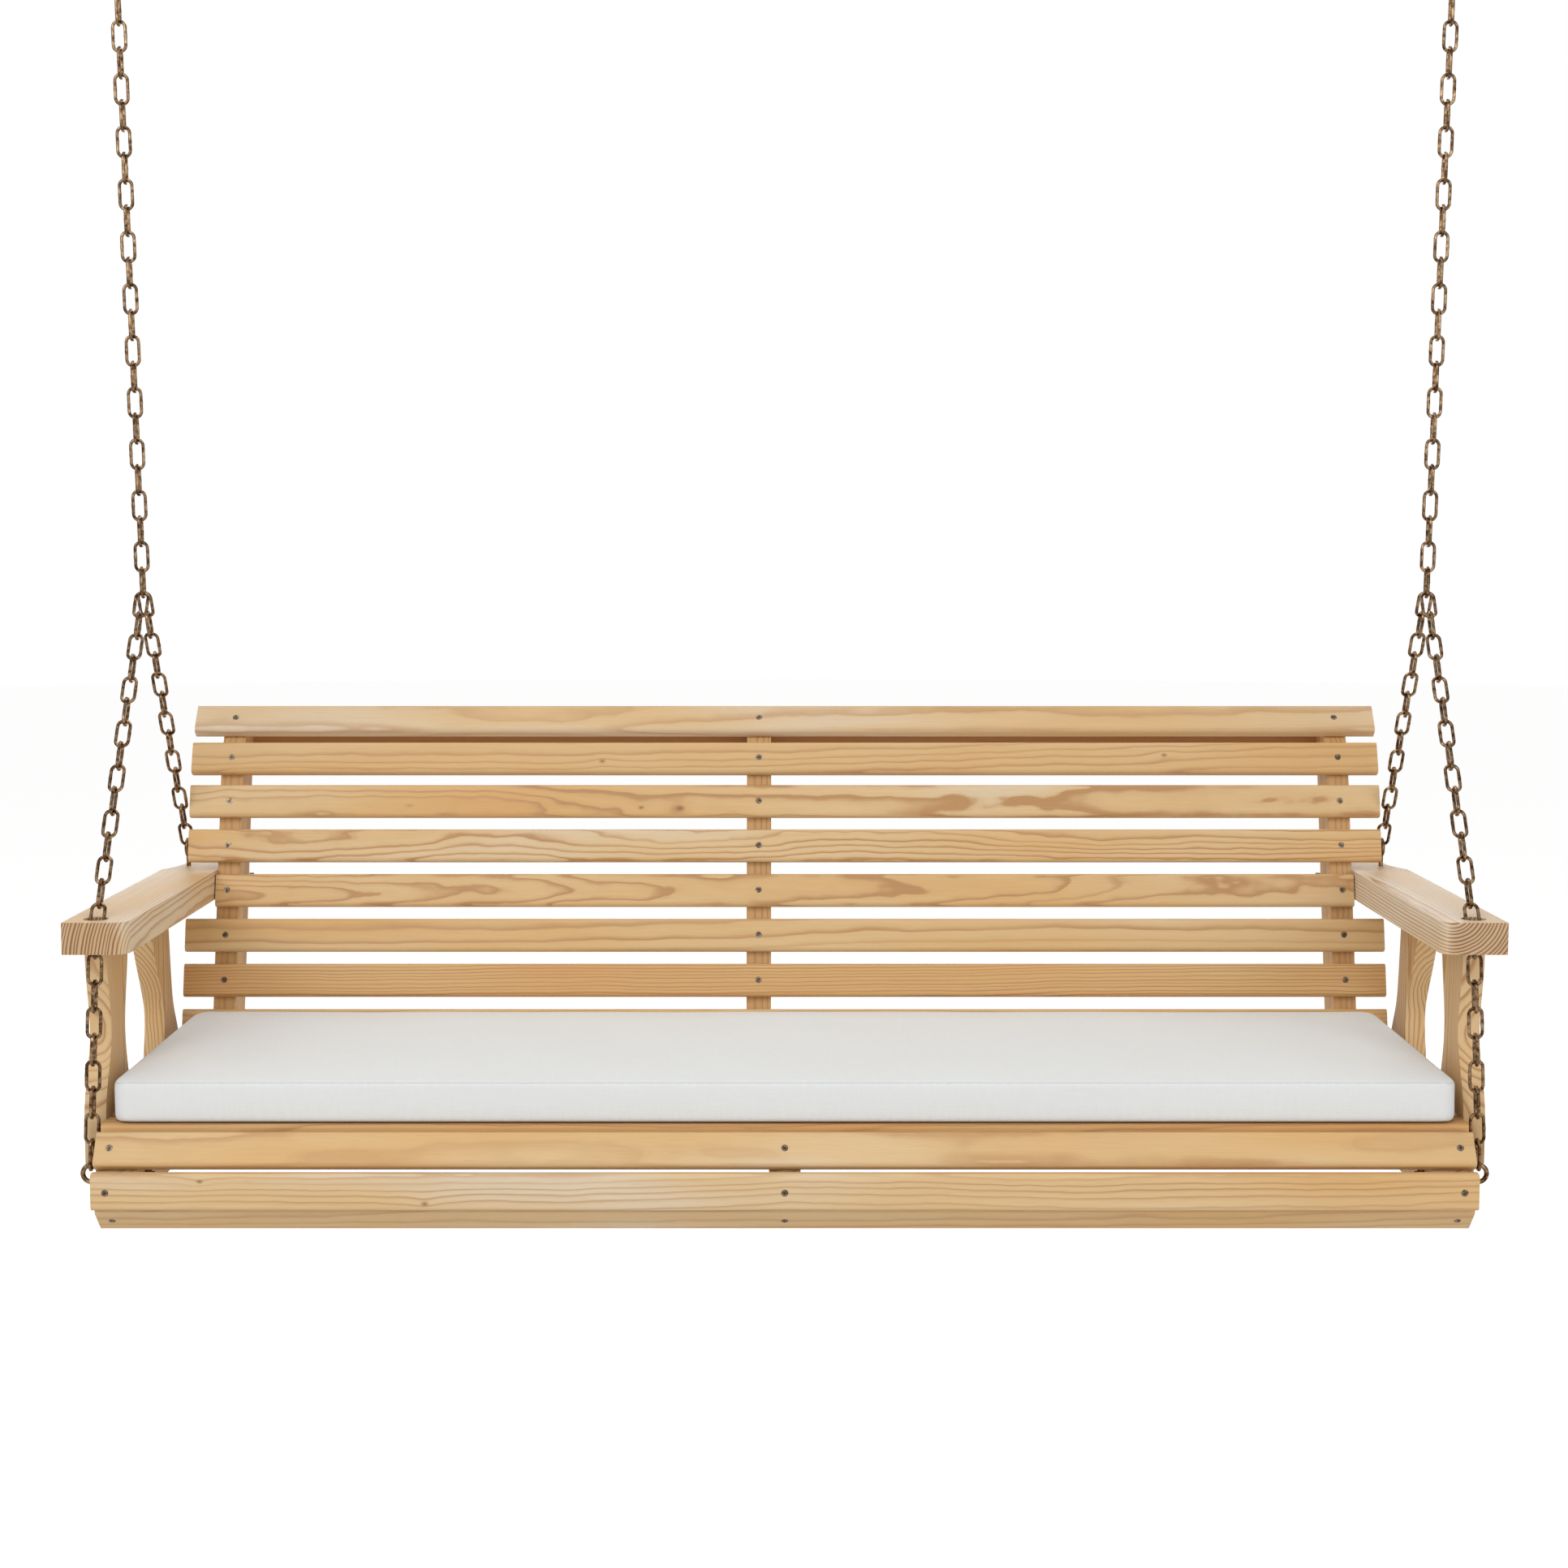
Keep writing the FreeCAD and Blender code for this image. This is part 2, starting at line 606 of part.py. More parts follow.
def chain(contacts, first_flat, start_bar=None, end_bar=None):
    """Taut chain of links between contact points. Flat links lie across X, the others upright."""
    overhang = (size("wire_dia") + size("link_gap")) / 2
    links = []
    for index, (p, q) in enumerate(zip(contacts, contacts[1:])):
        along = (q - p).normalize()
        a, b = p - along * overhang, q + along * overhang
        if index == 0 and start_bar:
            a = start_bar
        if index == len(contacts) - 2 and end_bar:
            b = end_bar
        flat = (index % 2 == 0) == first_flat
        across = Vector(1, 0, 0) if flat else along.cross(Vector(1, 0, 0))
        links.append(link(a, b, across))
    return links


def evenly(start, end, count):
    """Points from start to end in count equal steps."""
    return [start + (end - start) * (i / count) for i in range(count + 1)]


FORK_SPREAD = 2.45


def fork_bar(sign, towards):
    """Centreline of the top bar of the first link below the fork, inside the last hanging link."""
    bend = (size("link_width") - size("wire_dia")) / 2
    reach = bend - size("wire_dia") - size("link_gap") / 2
    fork = hang(sign * size("fork_x"), size("hang_back"), size("fork_z"))
    drop = math.sqrt(reach ** 2 - FORK_SPREAD ** 2)
    return fork + Vector(0, towards * FORK_SPREAD, -drop)


HANGING_LINKS, FORK_TO_ARM_LINKS, BELOW_ARM_LINKS, BACK_LINKS = 27, 15, 8, 13
# Where one link of the front chain ends and the next begins inside the arm's hole and just below it
ARM_CONTACT, BELOW_ARM_CONTACT = (820, 33.5, -12.5), (820, 28, -44)


def on_side(point, sign):
    x, y, z = point
    return hang(sign * x, y, z)


def hook_bar(sign):
    """Centre of the lowest bar of the ceiling eye, which the hanging chain swings about."""
    z = -size("hook_drop") - size("hook_ring_dia") / 2
    return Vector(sign * size("hook_half_span"), 0, z)


def build_chains():
    half_overlap = (size("wire_dia") + size("link_gap")) / 2
    bend = (size("link_width") - size("wire_dia")) / 2
    for side, sign in SIDES.items():
        fork = hang(sign * size("fork_x"), size("hang_back"), size("fork_z"))
        eye = hook_bar(sign)
        down = (fork - eye).normalize()
        grip = size("hook_wire_dia") / 2 + size("wire_dia") / 2 + size("link_gap")
        top_bar, last_bar = eye - down * grip, fork + down * bend
        points = evenly(top_bar + down * half_overlap, last_bar - down * half_overlap, HANGING_LINKS)
        group(f"hanging_chain_{side}", chain(points, first_flat=False))

        start = fork_bar(sign, -1)
        arm_top, below = on_side(ARM_CONTACT, sign), on_side(BELOW_ARM_CONTACT, sign)
        ring = hang(sign * size("front_eye_x"), size("front_eye_y"), size("front_eye_z"))
        inside = (size("eye_ring_dia") / 2 - size("eye_wire_dia") / 2 - size("wire_dia") / 2
                  - size("link_gap"))
        end = ring + Vector(0, 0, inside)
        first = (arm_top - start).normalize()
        upper = evenly(start + first * half_overlap, arm_top, FORK_TO_ARM_LINKS)
        last = (end - below).normalize()
        lower = evenly(below, end - last * half_overlap, BELOW_ARM_LINKS)
        group(f"front_chain_{side}", chain(upper + lower, first_flat=True))

        start = fork_bar(sign, 1)
        ring = hang(sign * size("rear_eye_x"), size("rear_eye_y"), size("rear_eye_z"))
        pull = (start - ring).normalize()
        end = ring + pull * inside
        points = evenly(start - pull * half_overlap, end + pull * half_overlap, BACK_LINKS)
        group(f"back_chain_{side}", chain(points, first_flat=True))


def build_ceiling_hooks():
    """Closed screw eye: ring across X below the ceiling, thread standing up into the joist."""
    wire, loop = size("hook_wire_dia") / 2, size("hook_ring_dia") / 2
    for side, sign in SIDES.items():
        ring = Vector(sign * size("hook_half_span"), 0, -size("hook_drop"))
        torus = Part.makeTorus(loop, wire, ring, Vector(0, 1, 0))
        neck = Part.makeCylinder(wire, size("hook_drop") - loop, ring + Vector(0, 0, loop))
        thread = Part.makeCylinder(size("hook_thread_dia") / 2, size("hook_thread"),
                                   ring + Vector(0, 0, size("hook_drop")))
        group(f"ceiling_hook_{side}", [torus.multiFuse([neck, thread]).removeSplitter()])


# ---------------------------------------------------------------- cushion

def build_cushion():
    """Box cushion lying on the seat slats, a little thicker towards the back."""
    body = doc.addObject("PartDesign::Body", "seat_cushion")
    sketch = new_sketch(body, "YZ_Plane", "Section")
    front, rear = size("cushion_front_y"), size("cushion_rear_y")
    points = [(front, 0), (rear, 0), (rear, size("cushion_thick_rear")), (front, size("cushion_thick_front"))]
    outline(sketch, polygon(points))
    block = pad(body, sketch, "2 * Sizes.cushion_half_width", midplane=True)
    doc.recompute()
    soft = body.newObject("PartDesign::Fillet", "SoftEdges")
    soft.Base = (block, [f"Edge{i}" for i in range(1, len(block.Shape.Edges) + 1)])
    bind(soft, "Radius", "Sizes.cushion_round")
    body.Placement = Placement(hang(0, 0, size("seat_top_z") + size("cushion_gap")), Rotation())
    keep(body, "seat_cushion")


def check_and_export():
    doc.recompute()
    for obj in doc.Objects:
        if "Invalid" in obj.State or "Error" in obj.State:
            raise RuntimeError(f"{obj.Label}: {obj.State}")
    os.makedirs("parts", exist_ok=True)
    for obj in PARTS:
        shape = obj.Shape
        if shape.isNull() or not shape.isValid() or not shape.Solids:
            raise RuntimeError(f"{obj.Label}: bad shape")
        shape.exportStep(f"parts/{obj.Label}.step")
    print(len(PARTS), "parts")


build_slats()
build_frame()
build_top_rail()
build_arms()
build_posts()
build_screws()
build_arm_fixings()
TIMBER_BOLTS = build_bolts()
EYE_BORES = build_eye_bolts()
drill(bores_for(TIMBER_BOLTS) + EYE_BORES, [f"{kind}_{side}" for kind in ("seat_stringer", "back_stringer")
                                            for side in ("left", "right", "centre")]
      + [f"arm_post_{end}_{side}" for end in ("front", "rear") for side in SIDES])
build_chains()
build_ceiling_hooks()
build_cushion()
check_and_export()
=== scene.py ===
import math
import random
import json

import bmesh
import bpy
import numpy as np
from mathutils import Euler, Matrix, Vector, kdtree
from mathutils.bvhtree import BVHTree


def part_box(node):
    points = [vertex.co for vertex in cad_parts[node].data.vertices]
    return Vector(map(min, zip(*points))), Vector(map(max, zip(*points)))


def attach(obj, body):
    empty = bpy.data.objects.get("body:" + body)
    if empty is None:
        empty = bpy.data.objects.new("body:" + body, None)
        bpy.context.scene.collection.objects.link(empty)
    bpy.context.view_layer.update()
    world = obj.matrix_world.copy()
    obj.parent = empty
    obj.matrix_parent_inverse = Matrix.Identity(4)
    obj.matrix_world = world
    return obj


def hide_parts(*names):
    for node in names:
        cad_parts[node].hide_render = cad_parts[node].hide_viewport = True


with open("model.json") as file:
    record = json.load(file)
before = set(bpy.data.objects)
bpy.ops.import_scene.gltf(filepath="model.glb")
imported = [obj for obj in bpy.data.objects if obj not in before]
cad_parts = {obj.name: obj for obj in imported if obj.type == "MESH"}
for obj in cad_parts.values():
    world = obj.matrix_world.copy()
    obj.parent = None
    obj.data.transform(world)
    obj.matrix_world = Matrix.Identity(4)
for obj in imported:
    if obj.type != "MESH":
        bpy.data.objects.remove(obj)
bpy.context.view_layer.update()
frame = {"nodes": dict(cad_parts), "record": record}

nodes = frame["nodes"]
scene = bpy.context.scene
SIDES = ("left", "right")

# ------------------------------------------------------------------ camera, light, floor

CAMERA_PLACE, CAMERA_TILT = (0.0, -3.344, -0.845), 5.35     # metres, degrees down
LENS, SENSOR_WIDTH, SHIFT_X = 59.89, 36.0, -0.0005
FLOOR_Z, FLOOR_RADIUS, FLOOR_SIDES = -2.3, 24.0, 64
SEAT_MIDDLE = (0.0, -0.1, -1.35)
# name: place, size in metres, power in watts; each one aims at the middle of the seat
LIGHTS = {
    "key": ((-2.2, -3.6, 0.9), (3.2, 2.4), 76),
    "fill": ((2.6, -3.4, -0.2), (2.6, 2.6), 42),
    "overhead": ((0.0, 0.4, 2.2), (3.6, 2.4), 38),
    "back": ((0.0, 4.2, 0.1), (4.4, 1.6), 55),
}
WORLD_LIGHT, WORLD_SEEN, FLOOR_GLOW = 0.50, 1.0, 0.58


def make_camera():
    data = bpy.data.cameras.new("camera")
    data.lens, data.sensor_width, data.shift_x = LENS, SENSOR_WIDTH, SHIFT_X
    camera = bpy.data.objects.new("camera", data)
    camera.location = CAMERA_PLACE
    camera.rotation_euler = (math.radians(90 - CAMERA_TILT), 0.0, 0.0)
    scene.collection.objects.link(camera)
    scene.camera = camera


def area_light(name, place, size, power):
    data = bpy.data.lights.new(name, "AREA")
    data.shape, data.size, data.size_y = "RECTANGLE", size[0], size[1]
    data.energy = power
    lamp = bpy.data.objects.new(name, data)
    lamp.location = place
    aim = Vector(SEAT_MIDDLE) - Vector(place)
    lamp.rotation_euler = aim.to_track_quat("-Z", "Y").to_euler()
    scene.collection.objects.link(lamp)


def make_stage():
    scene.view_settings.view_transform = "Standard"
    world = bpy.data.worlds.new("studio")
    scene.world = world
    world.use_nodes = True
    tree = world.node_tree
    background = tree.nodes["Background"]
    rays = tree.nodes.new("ShaderNodeLightPath")
    strength = tree.nodes.new("ShaderNodeMapRange")
    strength.inputs["To Min"].default_value = WORLD_LIGHT
    strength.inputs["To Max"].default_value = WORLD_SEEN
    tree.links.new(rays.outputs["Is Camera Ray"], strength.inputs["Value"])
    tree.links.new(strength.outputs["Result"], background.inputs["Strength"])
    background.inputs["Color"].default_value = (1.0, 1.0, 1.0, 1.0)

    for name, (place, size, power) in LIGHTS.items():
        area_light(name, place, size, power)

    mesh = bpy.data.meshes.new("floor")
    turns = np.linspace(0, math.tau, FLOOR_SIDES + 1)[:-1]
    rim = [(FLOOR_RADIUS * math.cos(a), FLOOR_RADIUS * math.sin(a), FLOOR_Z) for a in turns]
    mesh.from_pydata(rim, [], [tuple(range(FLOOR_SIDES))])
    floor = bpy.data.objects.new("floor", mesh)
    scene.collection.objects.link(floor)
    material = bpy.data.materials.new("floor")
    material.use_nodes = True
    tree = material.node_tree
    shader = tree.nodes["Principled BSDF"]
    shader.inputs["Roughness"].default_value = 0.9
    shader.inputs["Specular IOR Level"].default_value = 0.1
    shader.inputs["Base Color"].default_value = (0.80, 0.795, 0.79, 1.0)
    shader.inputs["Emission Color"].default_value = (1.0, 1.0, 1.0, 1.0)
    # The camera sees the floor as bright as the studio's background, so no horizon shows.
    rays = tree.nodes.new("ShaderNodeLightPath")
    glow = tree.nodes.new("ShaderNodeMath")
    glow.operation = "MULTIPLY"
    glow.inputs[1].default_value = FLOOR_GLOW
    tree.links.new(rays.outputs["Is Camera Ray"], glow.inputs[0])
    tree.links.new(glow.outputs[0], shader.inputs["Emission Strength"])
    mesh.materials.append(material)


# ------------------------------------------------------------------ node helpers

class Graph:
    """Short calls for building a node tree. A value is a number, a tuple or an output socket."""

    def __init__(self, tree):
        self.tree = tree

    def put(self, socket, value):
        if isinstance(value, bpy.types.NodeSocket):
            self.tree.links.new(value, socket)
        elif value is not None:
            socket.default_value = value

    def add(self, kind, **settings):
        node = self.tree.nodes.new("ShaderNode" + kind)
        for name, value in settings.items():
            setattr(node, name, value)
        return node

    def math(self, operation, *values, clamp=False):
        node = self.add("Math", operation=operation, use_clamp=clamp)
        for socket, value in zip(node.inputs, values):
            self.put(socket, value)
        return node.outputs[0]

    def vector(self, operation, *values):
        node = self.add("VectorMath", operation=operation)
        for socket, value in zip(node.inputs, values):
            self.put(socket, value)
        return node.outputs[0] if operation not in ("LENGTH", "DISTANCE") else node.outputs["Value"]

    def split(self, vector):
        node = self.add("SeparateXYZ")
        self.put(node.inputs[0], vector)
        return node.outputs[0], node.outputs[1], node.outputs[2]

    def join(self, x, y, z):
        node = self.add("CombineXYZ")
        for socket, value in zip(node.inputs, (x, y, z)):
            self.put(socket, value)
        return node.outputs[0]

    def noise(self, vector, scale=1.0, detail=2.0, rough=0.5, colour=False):
        node = self.add("TexNoise")
        self.put(node.inputs["Vector"], vector)
        self.put(node.inputs["Scale"], scale)
        self.put(node.inputs["Detail"], detail)
        self.put(node.inputs["Roughness"], rough)
        return node.outputs["Color" if colour else "Fac"]

    def ramp(self, value, stops):
        node = self.add("ValToRGB")
        self.put(node.inputs[0], value)
        ramp = node.color_ramp
        while len(ramp.elements) < len(stops):
            ramp.elements.new(0.5)
        for element, (place, colour) in zip(ramp.elements, stops):
            element.position = place
            element.color = (colour,) * 3 + (1.0,) if isinstance(colour, float) else (*colour, 1.0)
        return node.outputs[0]

    def mix(self, factor, a, b, blend="MIX"):
        node = self.add("Mix", data_type="RGBA", blend_type=blend)
        self.put(node.inputs[0], factor)
        for socket, value in ((node.inputs[6], a), (node.inputs[7], b)):
            self.put(socket, (*value, 1.0) if isinstance(value, tuple) else value)
        return node.outputs[2]

    def bump(self, height, distance, strength=1.0):
        node = self.add("Bump")
        node.inputs["Distance"].default_value = distance
        node.inputs["Strength"].default_value = strength
        self.put(node.inputs["Height"], height)
        return node.outputs[0]


def new_material(name):
    material = bpy.data.materials.new(name)
    material.use_nodes = True
    tree = material.node_tree
    return material, Graph(tree), tree.nodes["Principled BSDF"]


def dress(obj, material):
    """Give an object this material only."""
    obj.data.materials.clear()
    obj.data.materials.append(material)
    for polygon in obj.data.polygons:
        polygon.material_index = 0


# ------------------------------------------------------------------ pine

# The pale wood between the rings, from sapwood (tone 0) to heartwood (tone 1)
EARLYWOOD = [(0.0, (0.76, 0.65, 0.50)), (0.12, (0.71, 0.57, 0.395)), (0.30, (0.705, 0.495, 0.26)),
             (0.62, (0.675, 0.418, 0.173)), (1.0, (0.655, 0.348, 0.120))]
# The second colour here is the deep brown a board is darkened towards: partly a darker finish, partly
# painted shade on the back top rail
LATEWOOD, STAIN_AND_SHADE_COLOUR = (0.485, 0.255, 0.098), (0.36, 0.165, 0.060)
END_EARLYWOOD, END_LATEWOOD = (0.56, 0.37, 0.20), (0.270, 0.125, 0.048)
RESIN_STREAK, KNOT_WOOD = (0.33, 0.17, 0.07), (0.20, 0.085, 0.03)
# How dark the wood is through one year's growth, from one ring's edge to the next
YEAR_PROFILE = [(0.0, 0.30), (0.06, 0.06), (0.40, 0.0), (0.66, 0.16), (0.84, 0.75), (0.94, 1.0),
                (1.0, 0.30)]
GRAIN_VECTORS = ("Vector", "Pith", "Slope", "Grain Axis", "Knot A", "Knot B")
GRAIN_NUMBERS = ("Seed", "Ring", "Wobble", "Contrast", "Tone", "Stain And Shade")


def make_pine_group():
    """Growth rings round a pith line, cut by the board's own faces: flat-sawn faces show cathedrals,
    edge faces show lines and ends show arcs. Local x runs along the grain, in metres."""
    tree = bpy.data.node_groups.new("pine_grain", "ShaderNodeTree")
    sockets = ((GRAIN_VECTORS, "Vector", "INPUT"), (GRAIN_NUMBERS, "Float", "INPUT"),
               (("Color",), "Color", "OUTPUT"), (("Roughness", "Height"), "Float", "OUTPUT"))
    for names, kind, way in sockets:
        for name in names:
            tree.interface.new_socket(name, in_out=way, socket_type="NodeSocket" + kind)
    source, sink = tree.nodes.new("NodeGroupInput"), tree.nodes.new("NodeGroupOutput")
    g = Graph(tree)
    given = source.outputs
    seed = given["Seed"]
    offset = g.join(*(g.math("MULTIPLY", seed, factor) for factor in (7.13, 3.71, 5.39)))
    x, _, z = g.split(given["Vector"])

    def field(sx, sy, sz, **settings):
        place = g.vector("MULTIPLY", given["Vector"], (sx, sy, sz))
        return g.noise(g.vector("ADD", place, offset), **settings)

    def sway(colour_noise, share):
        """A noise turned into a displacement either way, as a share of the board's wobble."""
        moved = g.vector("SCALE", g.vector("SUBTRACT", colour_noise, (0.5, 0.5, 0.5)))
        g.put(moved.node.inputs["Scale"], g.math("MULTIPLY", given["Wobble"], share))
        return moved

    knot_dark, knot_push = None, None
    for name in ("Knot A", "Knot B"):
        # A knot is (place along, place across, radius); the across place is measured along local z.
        along, across, radius = g.split(given[name])
        near = g.join(g.math("MULTIPLY", g.math("SUBTRACT", x, along), 0.6), 0.0,
                      g.math("SUBTRACT", z, across))
        reach = g.math("DIVIDE", g.vector("LENGTH", near), g.math("MAXIMUM", radius, 1e-5))
        dark = g.math("SUBTRACT", 1.0, g.math("SMOOTH_MIN", reach, 1.0, 0.4), clamp=True)
        push = g.math("DIVIDE", g.math("MULTIPLY", radius, 1.2),
                      g.math("ADD", 1.0, g.math("MULTIPLY", g.math("POWER", reach, 2.0), 0.10)))
        knot_dark = dark if knot_dark is None else g.math("MAXIMUM", knot_dark, dark)
        knot_push = push if knot_push is None else g.math("ADD", knot_push, push)

    # The pith line drifts along the board, and the rings ripple and waver a little.
    along_only = g.vector("ADD", g.join(g.math("MULTIPLY", x, 1.5), 0.0, 0.0), offset)
    drift = sway(g.noise(along_only, detail=1.0, colour=True), 3.0)
    ripple = sway(field(7.0, 22.0, 22.0, detail=2.0, colour=True), 0.8)
    waver = sway(field(21.0, 36.0, 36.0, detail=2.0, colour=True), 0.30)
    lie = g.vector("SUBTRACT", given["Vector"], given["Pith"])
    lie = g.vector("SUBTRACT", lie, g.vector("MULTIPLY", g.join(x, x, x), given["Slope"]))
    lie = g.vector("ADD", g.vector("ADD", lie, drift), g.vector("ADD", ripple, waver))
    distance = g.vector("LENGTH", g.vector("MULTIPLY", lie, (0.0, 1.0, 1.0)))
    distance = g.math("ADD", distance, knot_push)
    phase = g.math("DIVIDE", distance, given["Ring"])
    # Good and poor years: ring width varies slowly with distance from the pith.
    years = g.noise(g.join(g.math("MULTIPLY", phase, 0.35), seed, 0.0), detail=1.0)
    phase = g.math("ADD", phase, g.math("MULTIPLY", years, 1.6))
    year = g.math("FLOOR", phase)
    luck = g.noise(g.join(g.math("MULTIPLY", year, 3.17), g.math("ADD", seed, 4.0), 0.0), detail=0.0)
    late = g.ramp(g.math("FRACT", phase), YEAR_PROFILE)
    patch = field(2.6, 26.0, 26.0, detail=2.0)
    weight = g.math("MULTIPLY", g.math("ADD", 0.25, g.math("MULTIPLY", luck, 1.3)),
                    g.math("ADD", 0.35, g.math("MULTIPLY", patch, 1.3)))
    late = g.math("MULTIPLY", late, g.math("MULTIPLY", weight, given["Contrast"]), clamp=True)

    fibre = field(14.0, 1300.0, 1300.0, detail=2.0)
    streak = field(30.0, 2100.0, 2100.0, detail=0.0)
    streak = g.math("MULTIPLY", g.math("SUBTRACT", streak, 0.70, clamp=True), 3.0, clamp=True)
    broad = field(1.6, 9.0, 9.0, detail=2.0)
    uneven = g.math("MULTIPLY", g.math("SUBTRACT", broad, 0.5), 1.5)
    tone = g.math("ADD", given["Tone"], uneven, clamp=True)
    # End grain is deeper in colour than the long faces, and its rings stand out more.
    facing = g.add("VectorMath", operation="DOT_PRODUCT")
    g.put(facing.inputs[0], g.add("TexCoord").outputs["Normal"])
    g.put(facing.inputs[1], given["Grain Axis"])
    end = g.math("SUBTRACT", g.math("ABSOLUTE", facing.outputs["Value"]), 0.75, clamp=True)
    end = g.math("MULTIPLY", end, 4.0, clamp=True)
    colour = g.mix(g.math("MULTIPLY", end, 0.75), g.ramp(tone, EARLYWOOD), END_EARLYWOOD)
    late = g.math("MULTIPLY", late, g.math("ADD", 1.0, g.math("MULTIPLY", end, 2.0)), clamp=True)
    colour = g.mix(late, colour, g.mix(end, LATEWOOD, END_LATEWOOD))
    # Darken towards the deep brown: a darker finish, and on the back top rail also painted shade for
    # the shade it lies in behind the slats
    colour = g.mix(given["Stain And Shade"], colour, STAIN_AND_SHADE_COLOUR)
    shade = g.math("ADD", 0.90, g.math("MULTIPLY", fibre, 0.20))
    colour = g.mix(1.0, colour, g.join(shade, shade, shade), "MULTIPLY")
    colour = g.mix(g.math("MULTIPLY", streak, 0.45), colour, RESIN_STREAK)
    colour = g.mix(g.math("MULTIPLY", knot_dark, 0.9), colour, KNOT_WOOD)
    g.put(sink.inputs["Color"], colour)
    rougher = g.math("MULTIPLY", g.math("SUBTRACT", fibre, late), 0.14)
    g.put(sink.inputs["Roughness"], g.math("ADD", 0.50, rougher))
    height = g.math("ADD", g.math("MULTIPLY", fibre, 0.5), g.math("MULTIPLY", late, 0.5))
    g.put(sink.inputs["Height"], g.math("SUBTRACT", height, g.math("MULTIPLY", streak, 0.6)))
    return tree


# Euler angles that turn a board's grain direction in the row frame into local x
ALONG_X = (0.0, 0.0, 0.0)
ALONG_Y = (0.0, 0.0, -math.pi / 2)
ALONG_Z = (0.0, math.pi / 2, 0.0)
RECLINED = (math.radians(14), math.pi / 2, 0.0)

# node: grain direction, pith line (y, z) in mm and its slope along the board, ring width and
# wobble in mm, contrast of the rings, tone of the wood between them
BOARDS = {
    "back_slat_1": (ALONG_X, (62, -20), (0.012, 0.006), 11.0, 12, 0.80, 0.30),
    "back_slat_2": (ALONG_X, (60, 30), (0.010, 0.012), 9.0, 12, 0.80, 0.50),
    "back_slat_3": (ALONG_X, (25, -18), (0.006, 0.010), 5.6, 13, 1.25, 0.50),
    "back_slat_4": (ALONG_X, (25, 16), (-0.008, 0.010), 6.2, 14, 1.25, 0.52),
    "back_slat_5": (ALONG_X, (26, -4), (0.030, 0.004), 5.6, 14, 1.20, 0.46),
    "back_slat_6": (ALONG_X, (46, 26), (0.004, 0.010), 12.0, 8, 0.95, 0.55),
    "back_slat_7": (ALONG_X, (20, 58), (0.004, 0.006), 4.6, 7, 1.75, 0.88),
    "back_slat_8": (ALONG_X, (30, 40), (0.006, 0.010), 6.0, 8, 0.70, 0.50),
    "front_slat_upper": (ALONG_X, (46, -34), (0.008, 0.010), 8.0, 10, 0.75, 0.44),
    "front_slat_middle": (ALONG_X, (26, -52), (0.003, 0.006), 7.0, 9, 0.75, 0.36),
    "front_slat_lower": (ALONG_X, (20, 60), (0.004, 0.006), 7.0, 8, 0.85, 0.46),
    "seat_slat_1": (ALONG_X, (50, 20), (0.004, 0.008), 6.0, 8, 0.85, 0.70),
    "back_top_rail": (ALONG_X, (20, 60), (0.004, 0.006), 6.0, 8, 0.80, 1.00),
    "arm_left": (ALONG_Y, (-120, -26), (0.01, 0.01), 4.0, 4, 1.25, 0.12),
    "arm_right": (ALONG_Y, (32, 36), (0.01, 0.01), 4.2, 4, 1.25, 0.12),
    "arm_post_front_left": (ALONG_Z, (36, 18), (0.02, 0.01), 5.2, 12, 1.50, 0.45),
    "arm_post_front_right": (ALONG_Z, (36, -18), (0.02, 0.01), 5.2, 12, 1.50, 0.45),
    "arm_post_rear_left": (ALONG_Z, (-30, 30), (0.02, 0.02), 5.0, 12, 1.70, 0.45),
    "arm_post_rear_right": (ALONG_Z, (-30, -26), (0.02, 0.02), 5.0, 12, 1.70, 0.45),
    "back_stringer_left": (RECLINED, (18, 90), (0.01, 0.01), 7.5, 7, 0.85, 0.68),
    "back_stringer_centre": (RECLINED, (18, 90), (0.01, 0.01), 7.0, 7, 0.85, 0.68),
    "back_stringer_right": (RECLINED, (18, -90), (0.01, 0.01), 7.5, 7, 0.85, 0.68),
    "seat_stringer_left": (ALONG_Y, (20, 90), (0.01, 0.01), 6.5, 8, 0.90, 0.55),
    "seat_stringer_centre": (ALONG_Y, (20, 90), (0.01, 0.01), 6.5, 8, 0.90, 0.55),
    "seat_stringer_right": (ALONG_Y, (20, 90), (0.01, 0.01), 6.5, 8, 0.90, 0.55),
}
# Pin knots: place along and across the board from its middle, and radius, all in mm
KNOTS = {
    "front_slat_middle": ((-695, 14, 3.2), (-428, -13, 3.6)),
    "back_slat_3": ((-143, -8, 4.5), (-196, -7, 3.0)),
    "back_slat_2": ((-250, -2, 3.4), (520, 6, 3.0)),
    "seat_slat_4": ((310, 4, 6.0), (-520, -6, 5.0)),
}
GRAIN_AXES = {turn: tuple(Euler(turn).to_matrix().inverted() @ Vector((1.0, 0.0, 0.0)))
              for turn in (ALONG_X, ALONG_Y, ALONG_Z, RECLINED)}
# How far a whole board is darkened towards a deep brown. On the back top rail this is partly a darker
# finish and partly painted shade, for the shade the rail lies in behind the top slats. On back slats 1
# and 2 it is a slight darkening.
STAIN_AND_SHADE_AMOUNTS = {"back_top_rail": 0.72, "back_slat_1": 0.12, "back_slat_2": 0.08}
# Two knots well outside the board, for a board that has none
NO_KNOT = ((0, 900, 0.01), (0, 900, 0.01))
MM = 1000


